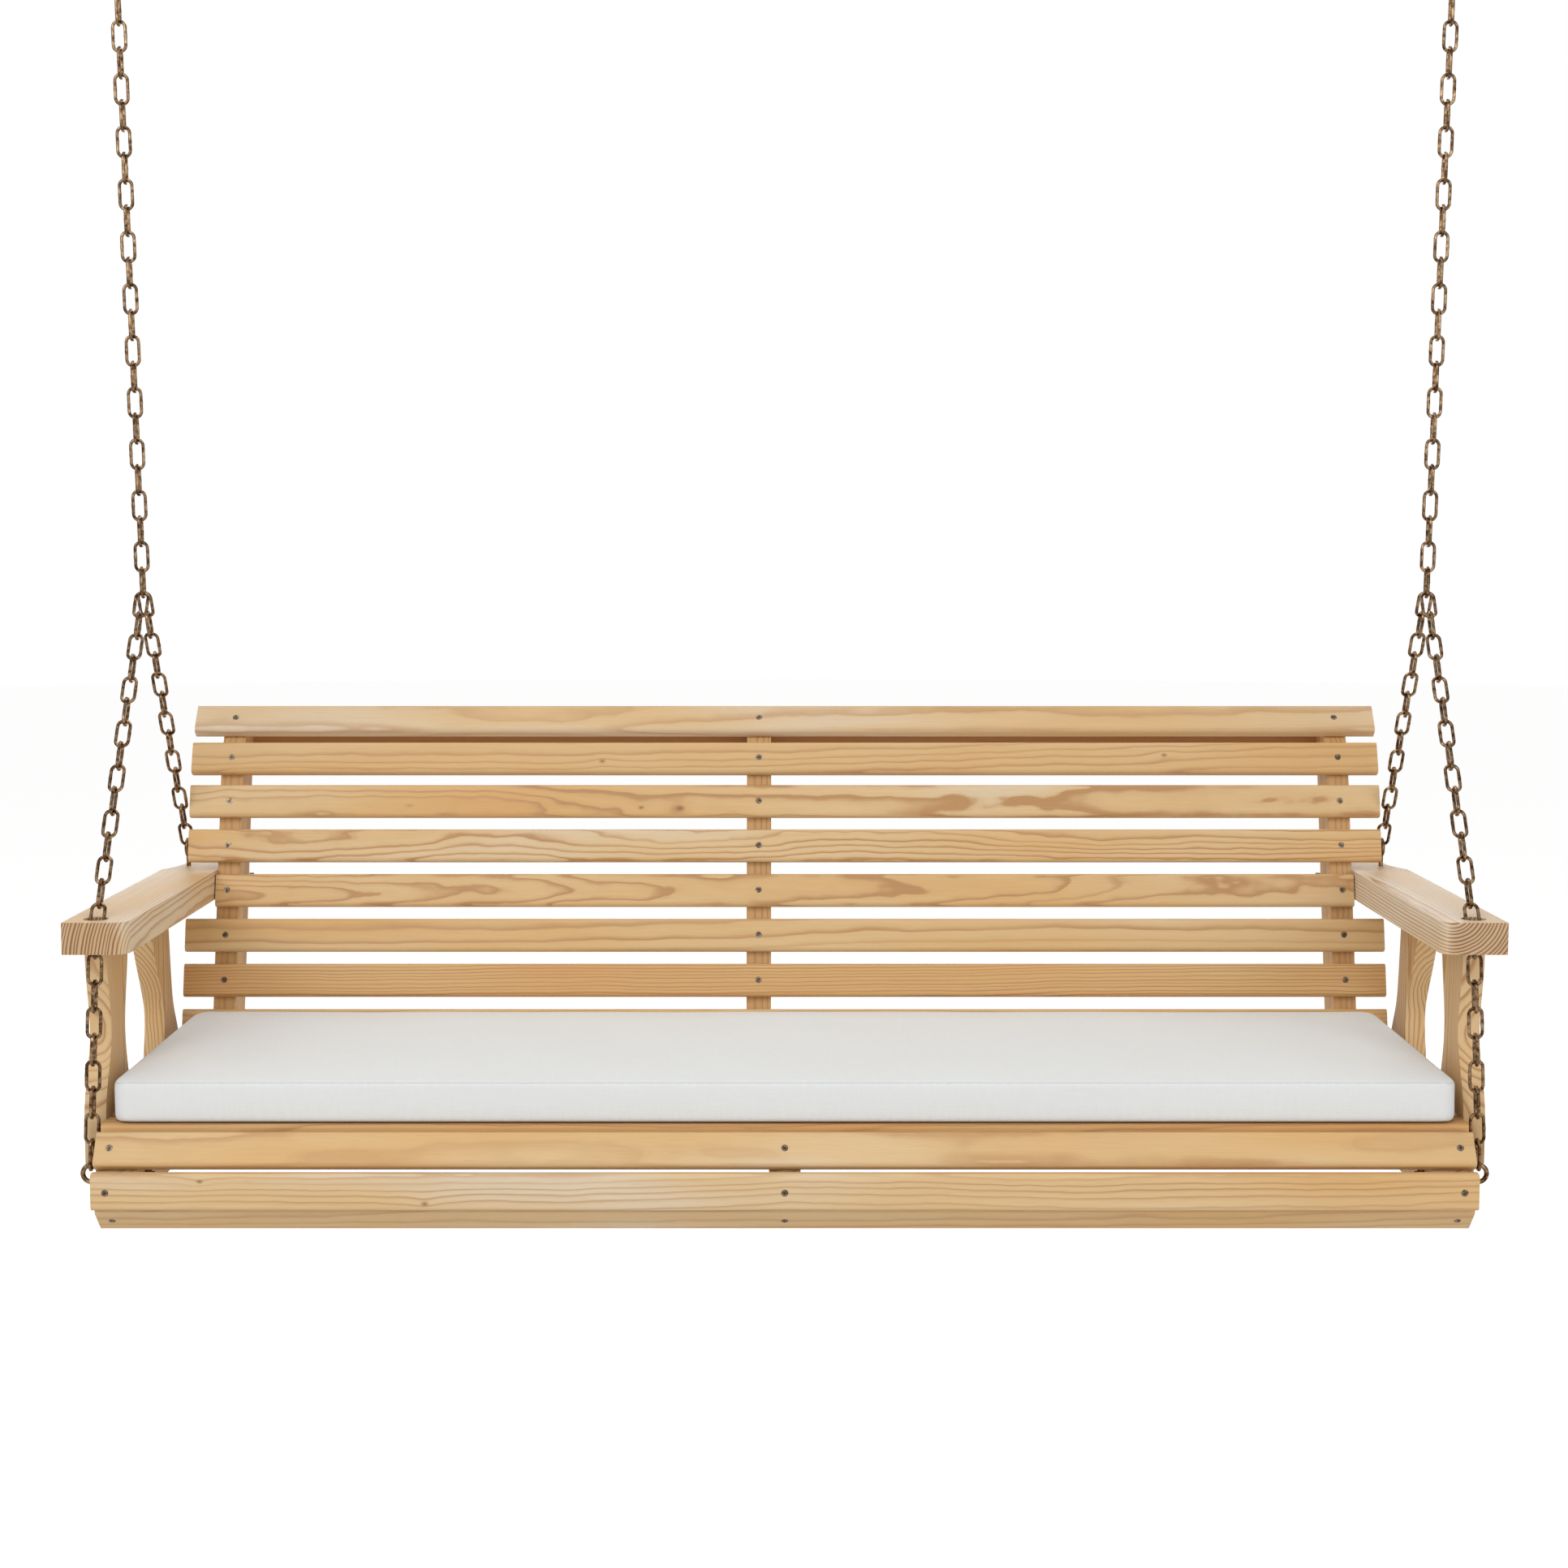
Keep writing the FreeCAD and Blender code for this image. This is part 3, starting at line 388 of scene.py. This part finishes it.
def paint_pine():
    group = make_pine_group()
    dice = random.Random(11)
    pine = [entry["node"] for entry in frame["record"]["subparts"] if entry["material_slot"] == "pine"]
    for number, name in enumerate(sorted(pine)):
        spare = (ALONG_Z if name == "arm_dowels" else ALONG_X,
                 (dice.uniform(24, 60), dice.uniform(-50, 50)), (0.006, 0.010),
                 dice.uniform(5, 8), 8, dice.uniform(0.6, 0.9), dice.uniform(0.2, 0.7))
        turn, pith, slope, ring, wobble, contrast, tone = BOARDS.get(name, spare)
        low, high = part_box(name)
        material, g, shader = new_material("pine_" + name)
        place = g.add("TexCoord").outputs["Object"]
        mapping = g.add("Mapping", vector_type="POINT")
        mapping.inputs["Rotation"].default_value = turn
        mapping.inputs["Location"].default_value = -(Euler(turn).to_matrix() @ ((low + high) / 2))
        g.put(mapping.inputs["Vector"], place)
        grain = g.add("Group", node_tree=group)
        knots = [(a / MM, b / MM, r / MM) for a, b, r in KNOTS.get(name, NO_KNOT)]
        settings = {
            "Vector": mapping.outputs[0], "Seed": number * 1.37 + 2.0, "Grain Axis": GRAIN_AXES[turn],
            "Pith": (0.0, pith[0] / MM, pith[1] / MM), "Slope": (0.0, *slope),
            "Ring": ring / MM, "Wobble": wobble / MM, "Contrast": contrast, "Tone": tone,
            "Stain And Shade": STAIN_AND_SHADE_AMOUNTS.get(name, 0.0), "Knot A": knots[0], "Knot B": knots[1]}
        for key, value in settings.items():
            g.put(grain.inputs[key], value)
        g.put(shader.inputs["Base Color"], grain.outputs["Color"])
        g.put(shader.inputs["Roughness"], grain.outputs["Roughness"])
        g.put(shader.inputs["Normal"], g.bump(grain.outputs["Height"], 0.0004, 0.6))
        shader.inputs["Specular IOR Level"].default_value = 0.5
        dress(nodes[name], material)


# ------------------------------------------------------------------ metal

def metal(name, dark, bright, rough, scale):
    """Worn plating: dark and bright patches of about 1 / scale metres."""
    material, g, shader = new_material(name)
    place = g.add("TexCoord").outputs["Object"]
    blotch = g.noise(place, scale, 3.0, 0.6)
    fine = g.noise(place, scale * 9, 2.0, 0.6)
    mixed = g.math("ADD", g.math("MULTIPLY", blotch, 0.7), g.math("MULTIPLY", fine, 0.3))
    spread = g.math("MULTIPLY", g.math("SUBTRACT", mixed, 0.42), 4.2, clamp=True)
    g.put(shader.inputs["Base Color"], g.mix(spread, dark, bright))
    uneven = g.math("MULTIPLY", g.math("SUBTRACT", 0.5, fine), 0.35)
    g.put(shader.inputs["Roughness"], g.math("ADD", rough, uneven))
    g.put(shader.inputs["Normal"], g.bump(mixed, 0.0004, 0.5))
    shader.inputs["Metallic"].default_value = 1.0
    return material


def paint_metal():
    bronze = metal("bronzed_steel", (0.080, 0.037, 0.016), (0.58, 0.385, 0.215), 0.28, 150.0)
    zinc = metal("zinc_screw", (0.11, 0.078, 0.052), (0.44, 0.35, 0.26), 0.38, 260.0)
    for entry in frame["record"]["subparts"]:
        if entry["material_slot"] == "bronzed_steel":
            dress(nodes[entry["node"]], bronze)
        elif entry["material_slot"] == "zinc_screw":
            dress(nodes[entry["node"]], zinc)
    return bronze, zinc


def solids_of(name):
    """The separate solids of a node: centre, axes from longest to shortest, sizes along the axes
    and points, from the highest solid to the lowest."""
    grid = bmesh.new()
    grid.from_mesh(nodes[name].data)
    bmesh.ops.remove_doubles(grid, verts=grid.verts, dist=1e-6)
    grid.verts.ensure_lookup_table()
    seen, found = set(), []
    for start in grid.verts:
        if start.index in seen:
            continue
        seen.add(start.index)
        island, queue = [], [start]
        while queue:
            vert = queue.pop()
            island.append(vert)
            for edge in vert.link_edges:
                other = edge.other_vert(vert)
                if other.index not in seen:
                    seen.add(other.index)
                    queue.append(other)
        faces = {f for v in island for f in v.link_faces}
        areas = np.array([f.calc_area() for f in faces])
        middles = np.array([f.calc_center_median() for f in faces])
        centre = (middles * areas[:, None]).sum(0) / areas.sum()
        spread = middles - centre
        vectors = np.linalg.eigh((spread * areas[:, None]).T @ spread)[1]
        axes = vectors[:, ::-1].T
        points = np.array([v.co for v in island])
        reach = (points - points.mean(0)) @ axes.T
        centre = points.mean(0) + ((reach.max(0) + reach.min(0)) / 2) @ axes
        found.append((centre, axes, reach.max(0) - reach.min(0), points))
    grid.free()
    return sorted(found, key=lambda item: (-round(float(item[0][2]), 4), float(item[0][0])))


def finish_piece(name, vertices, faces, material, body, stands_for=None):
    mesh = bpy.data.meshes.new(name)
    mesh.from_pydata([tuple(v) for v in vertices], [], faces)
    mesh.update()
    for polygon in mesh.polygons:
        polygon.use_smooth = True
    piece = bpy.data.objects.new(name, mesh)
    scene.collection.objects.link(piece)
    mesh.materials.append(material)
    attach(piece, body)
    if stands_for:
        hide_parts(stands_for)
    return piece


AROUND_WIRE, END_STEPS, SIDE_STEPS = 12, 12, 7
WELD_SWELL, WELD_LENGTH = 0.14, 0.0022


def link_rings(length, width, wire):
    """Centreline of a welded link with its wire radius: two half circles and two straight sides,
    one of which carries the weld's slight swelling."""
    bend = (width - wire) / 2
    straight = length / 2 - wire / 2 - bend
    rings = []
    for sign in (1, -1):
        for step in range(END_STEPS):
            angle = math.pi * (step + 0.5) / END_STEPS
            along = straight + bend * math.sin(angle)
            rings.append((sign * along, sign * bend * math.cos(angle), 1.0))
        for step in range(SIDE_STEPS):
            along = straight * (1 - 2 * (step + 0.5) / SIDE_STEPS)
            weld = 1 + WELD_SWELL * math.exp(-(along / WELD_LENGTH) ** 2) if sign > 0 else 1.0
            rings.append((sign * along, -sign * bend, weld))
    return rings


def make_chains(bronze):
    """Round links in the place of each CAD link; a link's weld is on either side."""
    dice = random.Random(5)
    for name in [f"{kind}_chain_{side}" for kind in ("hanging", "front", "back") for side in SIDES]:
        vertices, faces = [], []
        for centre, axes, sizes, _ in solids_of(name):
            length, width, wire = sizes
            long_axis, wide_axis = axes[0], axes[1]
            if dice.random() < 0.5:
                wide_axis = -wide_axis
            rings = link_rings(length, width, wire)
            line = [centre + a * long_axis + b * wide_axis for a, b, _ in rings]
            normal = np.cross(long_axis, wide_axis)
            base, count = len(vertices), len(rings)
            for i, (_, _, swell) in enumerate(rings):
                ahead = line[(i + 1) % count] - line[i - 1]
                ahead /= np.linalg.norm(ahead)
                side = np.cross(ahead, normal)
                for k in range(AROUND_WIRE):
                    turn = math.tau * k / AROUND_WIRE
                    out = math.cos(turn) * side + math.sin(turn) * normal
                    vertices.append(line[i] + wire / 2 * swell * out)
            for i in range(count):
                for k in range(AROUND_WIRE):
                    here, there = base + i * AROUND_WIRE, base + (i + 1) % count * AROUND_WIRE
                    after = (k + 1) % AROUND_WIRE
                    faces.append((here + k, here + after, there + after, there + k))
        body = "upper_chain_" + name.rsplit("_", 1)[1] if name.startswith("hanging") else "seat"
        finish_piece(name + "_links", vertices, faces, bronze, body, name)


# A screw head's rings: radius as a share of the head, finest where the drive recess lies
HEAD_RINGS = (0.10, 0.17, 0.24, 0.31, 0.38, 0.45, 0.52, 0.60, 0.74, 0.90, 0.985)
HEAD_STEPS = 40
HEAD_RIM, SHANK_RADIUS, TIP_RADIUS, TIP_LENGTH = 0.0003, 0.0021, 0.0004, 0.006
# The cross recess: half width and reach of an arm and the slopes of its walls as shares of the
# head's radius, and its depth in metres
RECESS_ARM, RECESS_REACH, RECESS_DEPTH = 0.13, 0.50, 0.00125
ARM_SLOPE, REACH_SLOPE = 0.07, 0.16


def recess(x, y):
    """Depth of a cross recess at (x, y), both as shares of the head's radius."""
    depth = 0.0
    for across, along in ((abs(x), abs(y)), (abs(y), abs(x))):
        wall = min((RECESS_ARM - across) / ARM_SLOPE, (RECESS_REACH - along) / REACH_SLOPE)
        depth = max(depth, min(max(wall, 0.0), 1.0))
    return depth * RECESS_DEPTH


def make_screws(zinc):
    """Countersunk screws with a cross recess, each turned to its own angle."""
    dice = random.Random(3)
    for name in ("back_slat_screws", "seat_slat_screws", "front_slat_screws", "top_rail_screws"):
        vertices, faces = [], []
        for centre, axes, sizes, points in solids_of(name):
            inward = axes[0]
            along = (points - centre) @ inward
            radii = np.linalg.norm((points - centre) - np.outer(along, inward), axis=1)
            if along[radii.argmax()] > 0:
                inward, along = -inward, -along
            head, start = radii.max(), centre + inward * along.min()
            u = np.cross(inward, (1.0, 0.0, 0.0))
            u /= np.linalg.norm(u)
            v = np.cross(inward, u)
            spin = dice.uniform(0, math.pi)
            # Radius and depth of each ring; the recess gives the depth where it is None.
            profile = [(share * head, None) for share in HEAD_RINGS]
            profile += [(head, HEAD_RIM), (SHANK_RADIUS, HEAD_RIM + head - SHANK_RADIUS),
                        (SHANK_RADIUS, sizes[0] - TIP_LENGTH), (TIP_RADIUS, sizes[0])]
            base = len(vertices)
            for radius, depth in profile:
                for k in range(HEAD_STEPS):
                    turn = math.tau * k / HEAD_STEPS
                    x, y = radius * math.cos(turn), radius * math.sin(turn)
                    sink = depth
                    if depth is None:
                        a = math.cos(spin) * x - math.sin(spin) * y
                        b = math.sin(spin) * x + math.cos(spin) * y
                        sink = recess(a / head, b / head)
                    vertices.append(start + inward * sink + u * x + v * y)
            for i in range(len(profile) - 1):
                for k in range(HEAD_STEPS):
                    after = (k + 1) % HEAD_STEPS
                    here, there = base + i * HEAD_STEPS, base + (i + 1) * HEAD_STEPS
                    faces.append((here + k, there + k, there + after, here + after))
            faces.append(tuple(base + k for k in range(HEAD_STEPS)))
            last = base + (len(profile) - 1) * HEAD_STEPS
            faces.append(tuple(last + k for k in reversed(range(HEAD_STEPS))))
        piece = finish_piece(name + "_heads", vertices, faces, zinc, "seat", name)
        piece.data.set_sharp_from_angle(angle=math.radians(38))


# ------------------------------------------------------------------ cushion

CUSHION_LOW, CUSHION_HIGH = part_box("seat_cushion")
# All in metres. Corner radius seen from above, how far the block starts inside the finished
# cushion, and how much narrower each side is at the back
CORNER, SHRINK, REAR_TAPER = 0.015, 0.0025, 0.022
# Thickness at the front edge, and how far the fabric stands proud of the CAD block
FRONT_THICK, SIDE_PROUD, TOP_PROUD = 0.0530, 0.006, 0.002
BLOCK_HEIGHT, BLOCK_BASE, OUTLINE_PITCH, CORNER_STEPS = 0.062, 0.0012, 0.012, 6
VOXEL, PANEL_CAP, SEAM_HOLD = 0.006, 0.0075, 0.006
PRESSURE, CLOTH_FRAMES = 4.0, 20
SEAM_WIDTH, SEAM_DIP, SEAM_ROLL, ROLL_SINK = 0.005, 0.0020, 0.0010, 0.0005


def plan(inset=0.0, taper=REAR_TAPER):
    """Points round the cushion's outline seen from above, with the outward direction at each."""
    y0, y1 = CUSHION_LOW.y + inset, CUSHION_HIGH.y - inset
    x0 = CUSHION_HIGH.x + SIDE_PROUD - inset
    x1 = x0 - taper
    corners = [(-x0, y0), (x0, y0), (x1, y1), (-x1, y1)]
    points = []
    for i, here in enumerate(corners):
        before, after = Vector(corners[i - 1]), Vector(corners[(i + 1) % 4])
        here = Vector(here)
        a, b = (before - here).normalized(), (after - here).normalized()
        half = a.angle(b) / 2
        pivot = here + (a + b).normalized() * CORNER / math.sin(half)
        start, stop = here + a * CORNER / math.tan(half), here + b * CORNER / math.tan(half)
        first, last = start - pivot, stop - pivot
        sweep = first.angle(last)
        for step in range(CORNER_STEPS + 1):
            angle = sweep * step / CORNER_STEPS
            out = Matrix.Rotation(angle, 2) @ first
            points.append((pivot + out, out.normalized()))
        c = (Vector(corners[(i + 2) % 4]) - after).normalized()
        half_next = (-b).angle(c) / 2
        target = after - b * CORNER / math.tan(half_next)
        count = max(2, round((target - stop).length / OUTLINE_PITCH))
        normal = Vector((b.y, -b.x))
        for step in range(1, count):
            points.append((stop.lerp(target, step / count), normal))
    return points


def top_of(y):
    """Height of the top seam, which rises towards the back."""
    share = (y - CUSHION_LOW.y) / (CUSHION_HIGH.y - CUSHION_LOW.y)
    full = CUSHION_HIGH.z - CUSHION_LOW.z
    return CUSHION_LOW.z + TOP_PROUD + FRONT_THICK + (full - FRONT_THICK) * share


def cushion_block():
    """Closed square-cut form, a little smaller than the finished cushion, for the remesh."""
    mesh = bpy.data.meshes.new("seat_cushion_cover")
    grid = bmesh.new()
    ring = plan(SHRINK, taper=0.0)
    lower = [grid.verts.new((p.x, p.y, CUSHION_LOW.z + BLOCK_BASE)) for p, _ in ring]
    upper = [grid.verts.new((p.x, p.y, CUSHION_LOW.z + BLOCK_HEIGHT)) for p, _ in ring]
    count = len(ring)
    for i in range(count):
        grid.faces.new((lower[i], lower[(i + 1) % count], upper[(i + 1) % count], upper[i]))
    grid.faces.new(upper)
    grid.faces.new(lower[::-1])
    grid.to_mesh(mesh)
    grid.free()
    piece = bpy.data.objects.new("seat_cushion_cover", mesh)
    scene.collection.objects.link(piece)
    return piece


def bake_modifiers(piece):
    graph = bpy.context.evaluated_depsgraph_get()
    mesh = bpy.data.meshes.new_from_object(piece.evaluated_get(graph))
    piece.modifiers.clear()
    piece.data = mesh


def cut_to_shape(piece):
    """Narrow the block towards the back and slope its top."""
    mesh = piece.data
    places = np.empty(len(mesh.vertices) * 3, np.float32)
    mesh.vertices.foreach_get("co", places)
    places = places.reshape(-1, 3)
    share = (places[:, 1] - CUSHION_LOW.y) / (CUSHION_HIGH.y - CUSHION_LOW.y)
    places[:, 0] *= 1 - REAR_TAPER * share / (CUSHION_HIGH.x + SIDE_PROUD)
    height = top_of(places[:, 1]) - SHRINK - CUSHION_LOW.z
    places[:, 2] = CUSHION_LOW.z + (places[:, 2] - CUSHION_LOW.z) * height / BLOCK_HEIGHT
    mesh.vertices.foreach_set("co", places.ravel())
    mesh.update()


def seam_lines():
    """Guides for the two seams: (point, outward direction) round the top and the bottom edge."""
    top, bottom = [], []
    for p, n in plan():
        top.append((Vector((p.x, p.y, top_of(p.y))), Vector((n.x, n.y, 1.0)).normalized()))
        bottom.append((Vector((p.x, p.y, CUSHION_LOW.z)), Vector((n.x, n.y, -0.55)).normalized()))
    return top, bottom


def puff(piece):
    """Cloth under pressure, held along its seams; no point moves further than the cap."""
    mesh = piece.data
    rest = np.array([v.co for v in mesh.vertices])
    held = kdtree.KDTree(2 * len(plan(SHRINK)))
    for i, (p, _) in enumerate(plan(SHRINK)):
        held.insert((p.x, p.y, top_of(p.y) - SHRINK), 2 * i)
        held.insert((p.x, p.y, CUSHION_LOW.z + BLOCK_BASE), 2 * i + 1)
    held.balance()
    group = piece.vertex_groups.new(name="seams")
    for vert in mesh.vertices:
        gap = held.find(vert.co)[2]
        group.add([vert.index], max(0.0, 1.0 - gap / (SEAM_HOLD * 2)), "REPLACE")
    cloth = piece.modifiers.new("cloth", "CLOTH")
    settings = cloth.settings
    settings.use_pressure, settings.uniform_pressure_force = True, PRESSURE
    settings.quality, settings.mass = 5, 0.3
    settings.tension_stiffness = settings.compression_stiffness = settings.shear_stiffness = 15
    settings.bending_stiffness = 2.0
    settings.vertex_group_mass = "seams"
    settings.effector_weights.gravity = 0.0
    for frame_number in range(1, CLOTH_FRAMES + 1):
        scene.frame_set(frame_number)
    graph = bpy.context.evaluated_depsgraph_get()
    shaped = piece.evaluated_get(graph).data
    moved = np.array([v.co for v in shaped.vertices]) - rest
    piece.modifiers.remove(cloth)
    scene.frame_set(1)
    reach = np.linalg.norm(moved, axis=1, keepdims=True)
    soft = PANEL_CAP * np.tanh(reach / PANEL_CAP)
    moved *= np.divide(soft, reach, out=np.zeros_like(reach), where=reach > 1e-9)
    mesh.vertices.foreach_set("co", (rest + moved).astype(np.float32).ravel())
    mesh.update()


def ripple_at(x, y):
    """Slow unevenness of a filled top panel, in metres."""
    return (0.0011 * np.sin(7.1 * x + 1.3) * np.sin(17 * y + 0.6)
            + 0.0008 * np.sin(16.3 * x - 9 * y + 2.0) + 0.0005 * np.sin(29 * x + 21 * y))


def settle(piece):
    """Seat the underside on the slats, let the top panel lie unevenly and pull the seams in."""
    mesh = piece.data
    guides = kdtree.KDTree(len(plan()) * 2)
    top, bottom = seam_lines()
    for i, (p, _) in enumerate(top + bottom):
        guides.insert(p, i)
    guides.balance()
    places = np.empty(len(mesh.vertices) * 3, np.float32)
    mesh.vertices.foreach_get("co", places)
    normals = np.empty(len(mesh.vertices) * 3, np.float32)
    mesh.vertex_normals.foreach_get("vector", normals)
    places, normals = places.reshape(-1, 3), normals.reshape(-1, 3)
    near = np.array([guides.find(p)[2] for p in places])
    dip = np.exp(-(near / SEAM_WIDTH) ** 2) * SEAM_DIP
    rise = np.clip((places[:, 2] - CUSHION_LOW.z - 0.02) / 0.02, 0.0, 1.0)
    shift = ripple_at(places[:, 0], places[:, 1]) * rise * np.minimum(1.0, near / 0.05) - dip
    places = places + normals * shift[:, None]
    places[:, 2] = np.maximum(places[:, 2], CUSHION_LOW.z)
    mesh.vertices.foreach_set("co", places.astype(np.float32).ravel())
    mesh.update()


def seam_path(piece, guides):
    """The seam's line on the finished fabric, a little below its surface."""
    tree = BVHTree.FromObject(piece, bpy.context.evaluated_depsgraph_get())
    path = []
    for point, out in guides:
        hit = tree.ray_cast(point + out * 0.06, -out, 0.12)[0]
        if hit is not None:
            path.append(hit - out * ROLL_SINK)
    return path


def make_seam_roll(name, path, material):
    """Thin closed roll of fabric along a seam."""
    steps, count = 8, len(path)
    vertices, faces = [], []
    for i in range(count):
        ahead = (path[(i + 1) % count] - path[i - 1]).normalized()
        up = Vector((0.0, 0.0, 1.0))
        side = ahead.cross(up).normalized()
        up = side.cross(ahead).normalized()
        for k in range(steps):
            turn = math.tau * k / steps
            vertices.append(path[i] + SEAM_ROLL * (math.cos(turn) * side + math.sin(turn) * up))
    for i in range(count):
        here, there = i * steps, (i + 1) % count * steps
        for k in range(steps):
            faces.append((here + k, here + (k + 1) % steps, there + (k + 1) % steps, there + k))
    finish_piece(name, vertices, faces, material, "seat")


THREADS_PER_METRE = 1250.0
SLUB_LENGTH, SLUB_WIDTH = 30.0, 700.0      # noise scale along a thread and across the threads
THREAD_DARK, THREAD_BRIGHT = (0.71, 0.725, 0.715), (0.84, 0.86, 0.85)
# The last colour is painted shade for the hollows between the threads
CLOUDED, THREAD_GAP_SHADE = (0.735, 0.75, 0.765), (0.50, 0.49, 0.48)


def make_fabric(name, depth):
    """Off-white plain weave with slubs. Threads run along x, or along y on the ends, and across.
    depth darkens the whole cloth below 1; on the seam rolls this is painted shade for the groove they
    lie in."""
    material, g, shader = new_material(name)
    coordinates = g.add("TexCoord")
    x, y, z = g.split(coordinates.outputs["Object"])
    normal_x = g.split(coordinates.outputs["Normal"])[0]
    is_end = g.math("GREATER_THAN", g.math("ABSOLUTE", normal_x), 0.75)
    across = g.math("ADD", y, z)
    along = g.math("ADD", g.math("MULTIPLY", x, g.math("SUBTRACT", 1.0, is_end)),
                   g.math("MULTIPLY", y, is_end))
    run = math.pi * THREADS_PER_METRE
    warp = g.math("SINE", g.math("MULTIPLY", along, run))
    weft = g.math("SINE", g.math("MULTIPLY", across, run))
    weave = g.math("MULTIPLY", warp, weft)
    slubs = []
    for a, b, plane in ((SLUB_LENGTH, SLUB_WIDTH, 0.0), (SLUB_WIDTH, SLUB_LENGTH, 5.0)):
        place = g.join(g.math("MULTIPLY", along, a), g.math("MULTIPLY", across, b), plane)
        slubs.append(g.noise(place, 1.0, 2.0))
    cloud = g.noise(coordinates.outputs["Object"], 9.0, 3.0)
    threads = g.math("ADD", g.math("MULTIPLY", slubs[0], 0.5), g.math("MULTIPLY", slubs[1], 0.5))
    colour = g.mix(threads, THREAD_DARK, THREAD_BRIGHT)
    colour = g.mix(g.math("MULTIPLY", cloud, 0.35), colour, CLOUDED)
    # Painted shade: the hollows where the weave runs below zero are darkened
    gap_shade = g.math("MULTIPLY", g.math("SUBTRACT", 0.0, weave, clamp=True), 0.12)
    colour = g.mix(gap_shade, colour, THREAD_GAP_SHADE)
    # Multiply by depth: below 1 this is painted shade, as on the darker seam rolls
    g.put(shader.inputs["Base Color"], g.mix(1.0, colour, (depth, depth, depth), "MULTIPLY"))
    g.put(shader.inputs["Roughness"], g.math("ADD", 0.82, g.math("MULTIPLY", threads, 0.12)))
    height = g.math("ADD", g.math("MULTIPLY", weave, 0.4), threads)
    g.put(shader.inputs["Normal"], g.bump(height, 0.0003, 0.5))
    shader.inputs["Sheen Weight"].default_value = 0.25
    shader.inputs["Sheen Roughness"].default_value = 0.5
    shader.inputs["Specular IOR Level"].default_value = 0.2
    return material


def make_cushion():
    # The seam rolls use the same cloth darkened to 0.80, as painted shade along the seam lines
    fabric, shaded_piping = make_fabric("cushion_fabric", 1.0), make_fabric("seam_roll_painted_shade", 0.80)
    piece = cushion_block()
    remesh = piece.modifiers.new("remesh", "REMESH")
    remesh.mode, remesh.voxel_size = "VOXEL", VOXEL
    smooth = piece.modifiers.new("even", "SMOOTH")
    smooth.factor, smooth.iterations = 0.5, 4
    bake_modifiers(piece)
    cut_to_shape(piece)
    puff(piece)
    subdivide = piece.modifiers.new("smooth", "SUBSURF")
    subdivide.levels = subdivide.render_levels = 1
    bake_modifiers(piece)
    for polygon in piece.data.polygons:
        polygon.use_smooth = True
    settle(piece)
    dress(piece, fabric)
    top, bottom = seam_lines()
    top_path, bottom_path = seam_path(piece, top), seam_path(piece, bottom)
    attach(piece, "seat")
    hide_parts("seat_cushion")
    make_seam_roll("seat_cushion_top_seam", top_path, shaded_piping)
    make_seam_roll("seat_cushion_bottom_seam", bottom_path, shaded_piping)


make_camera()
make_stage()
paint_pine()
BRONZE, ZINC = paint_metal()
make_chains(BRONZE)
make_screws(ZINC)
make_cushion()
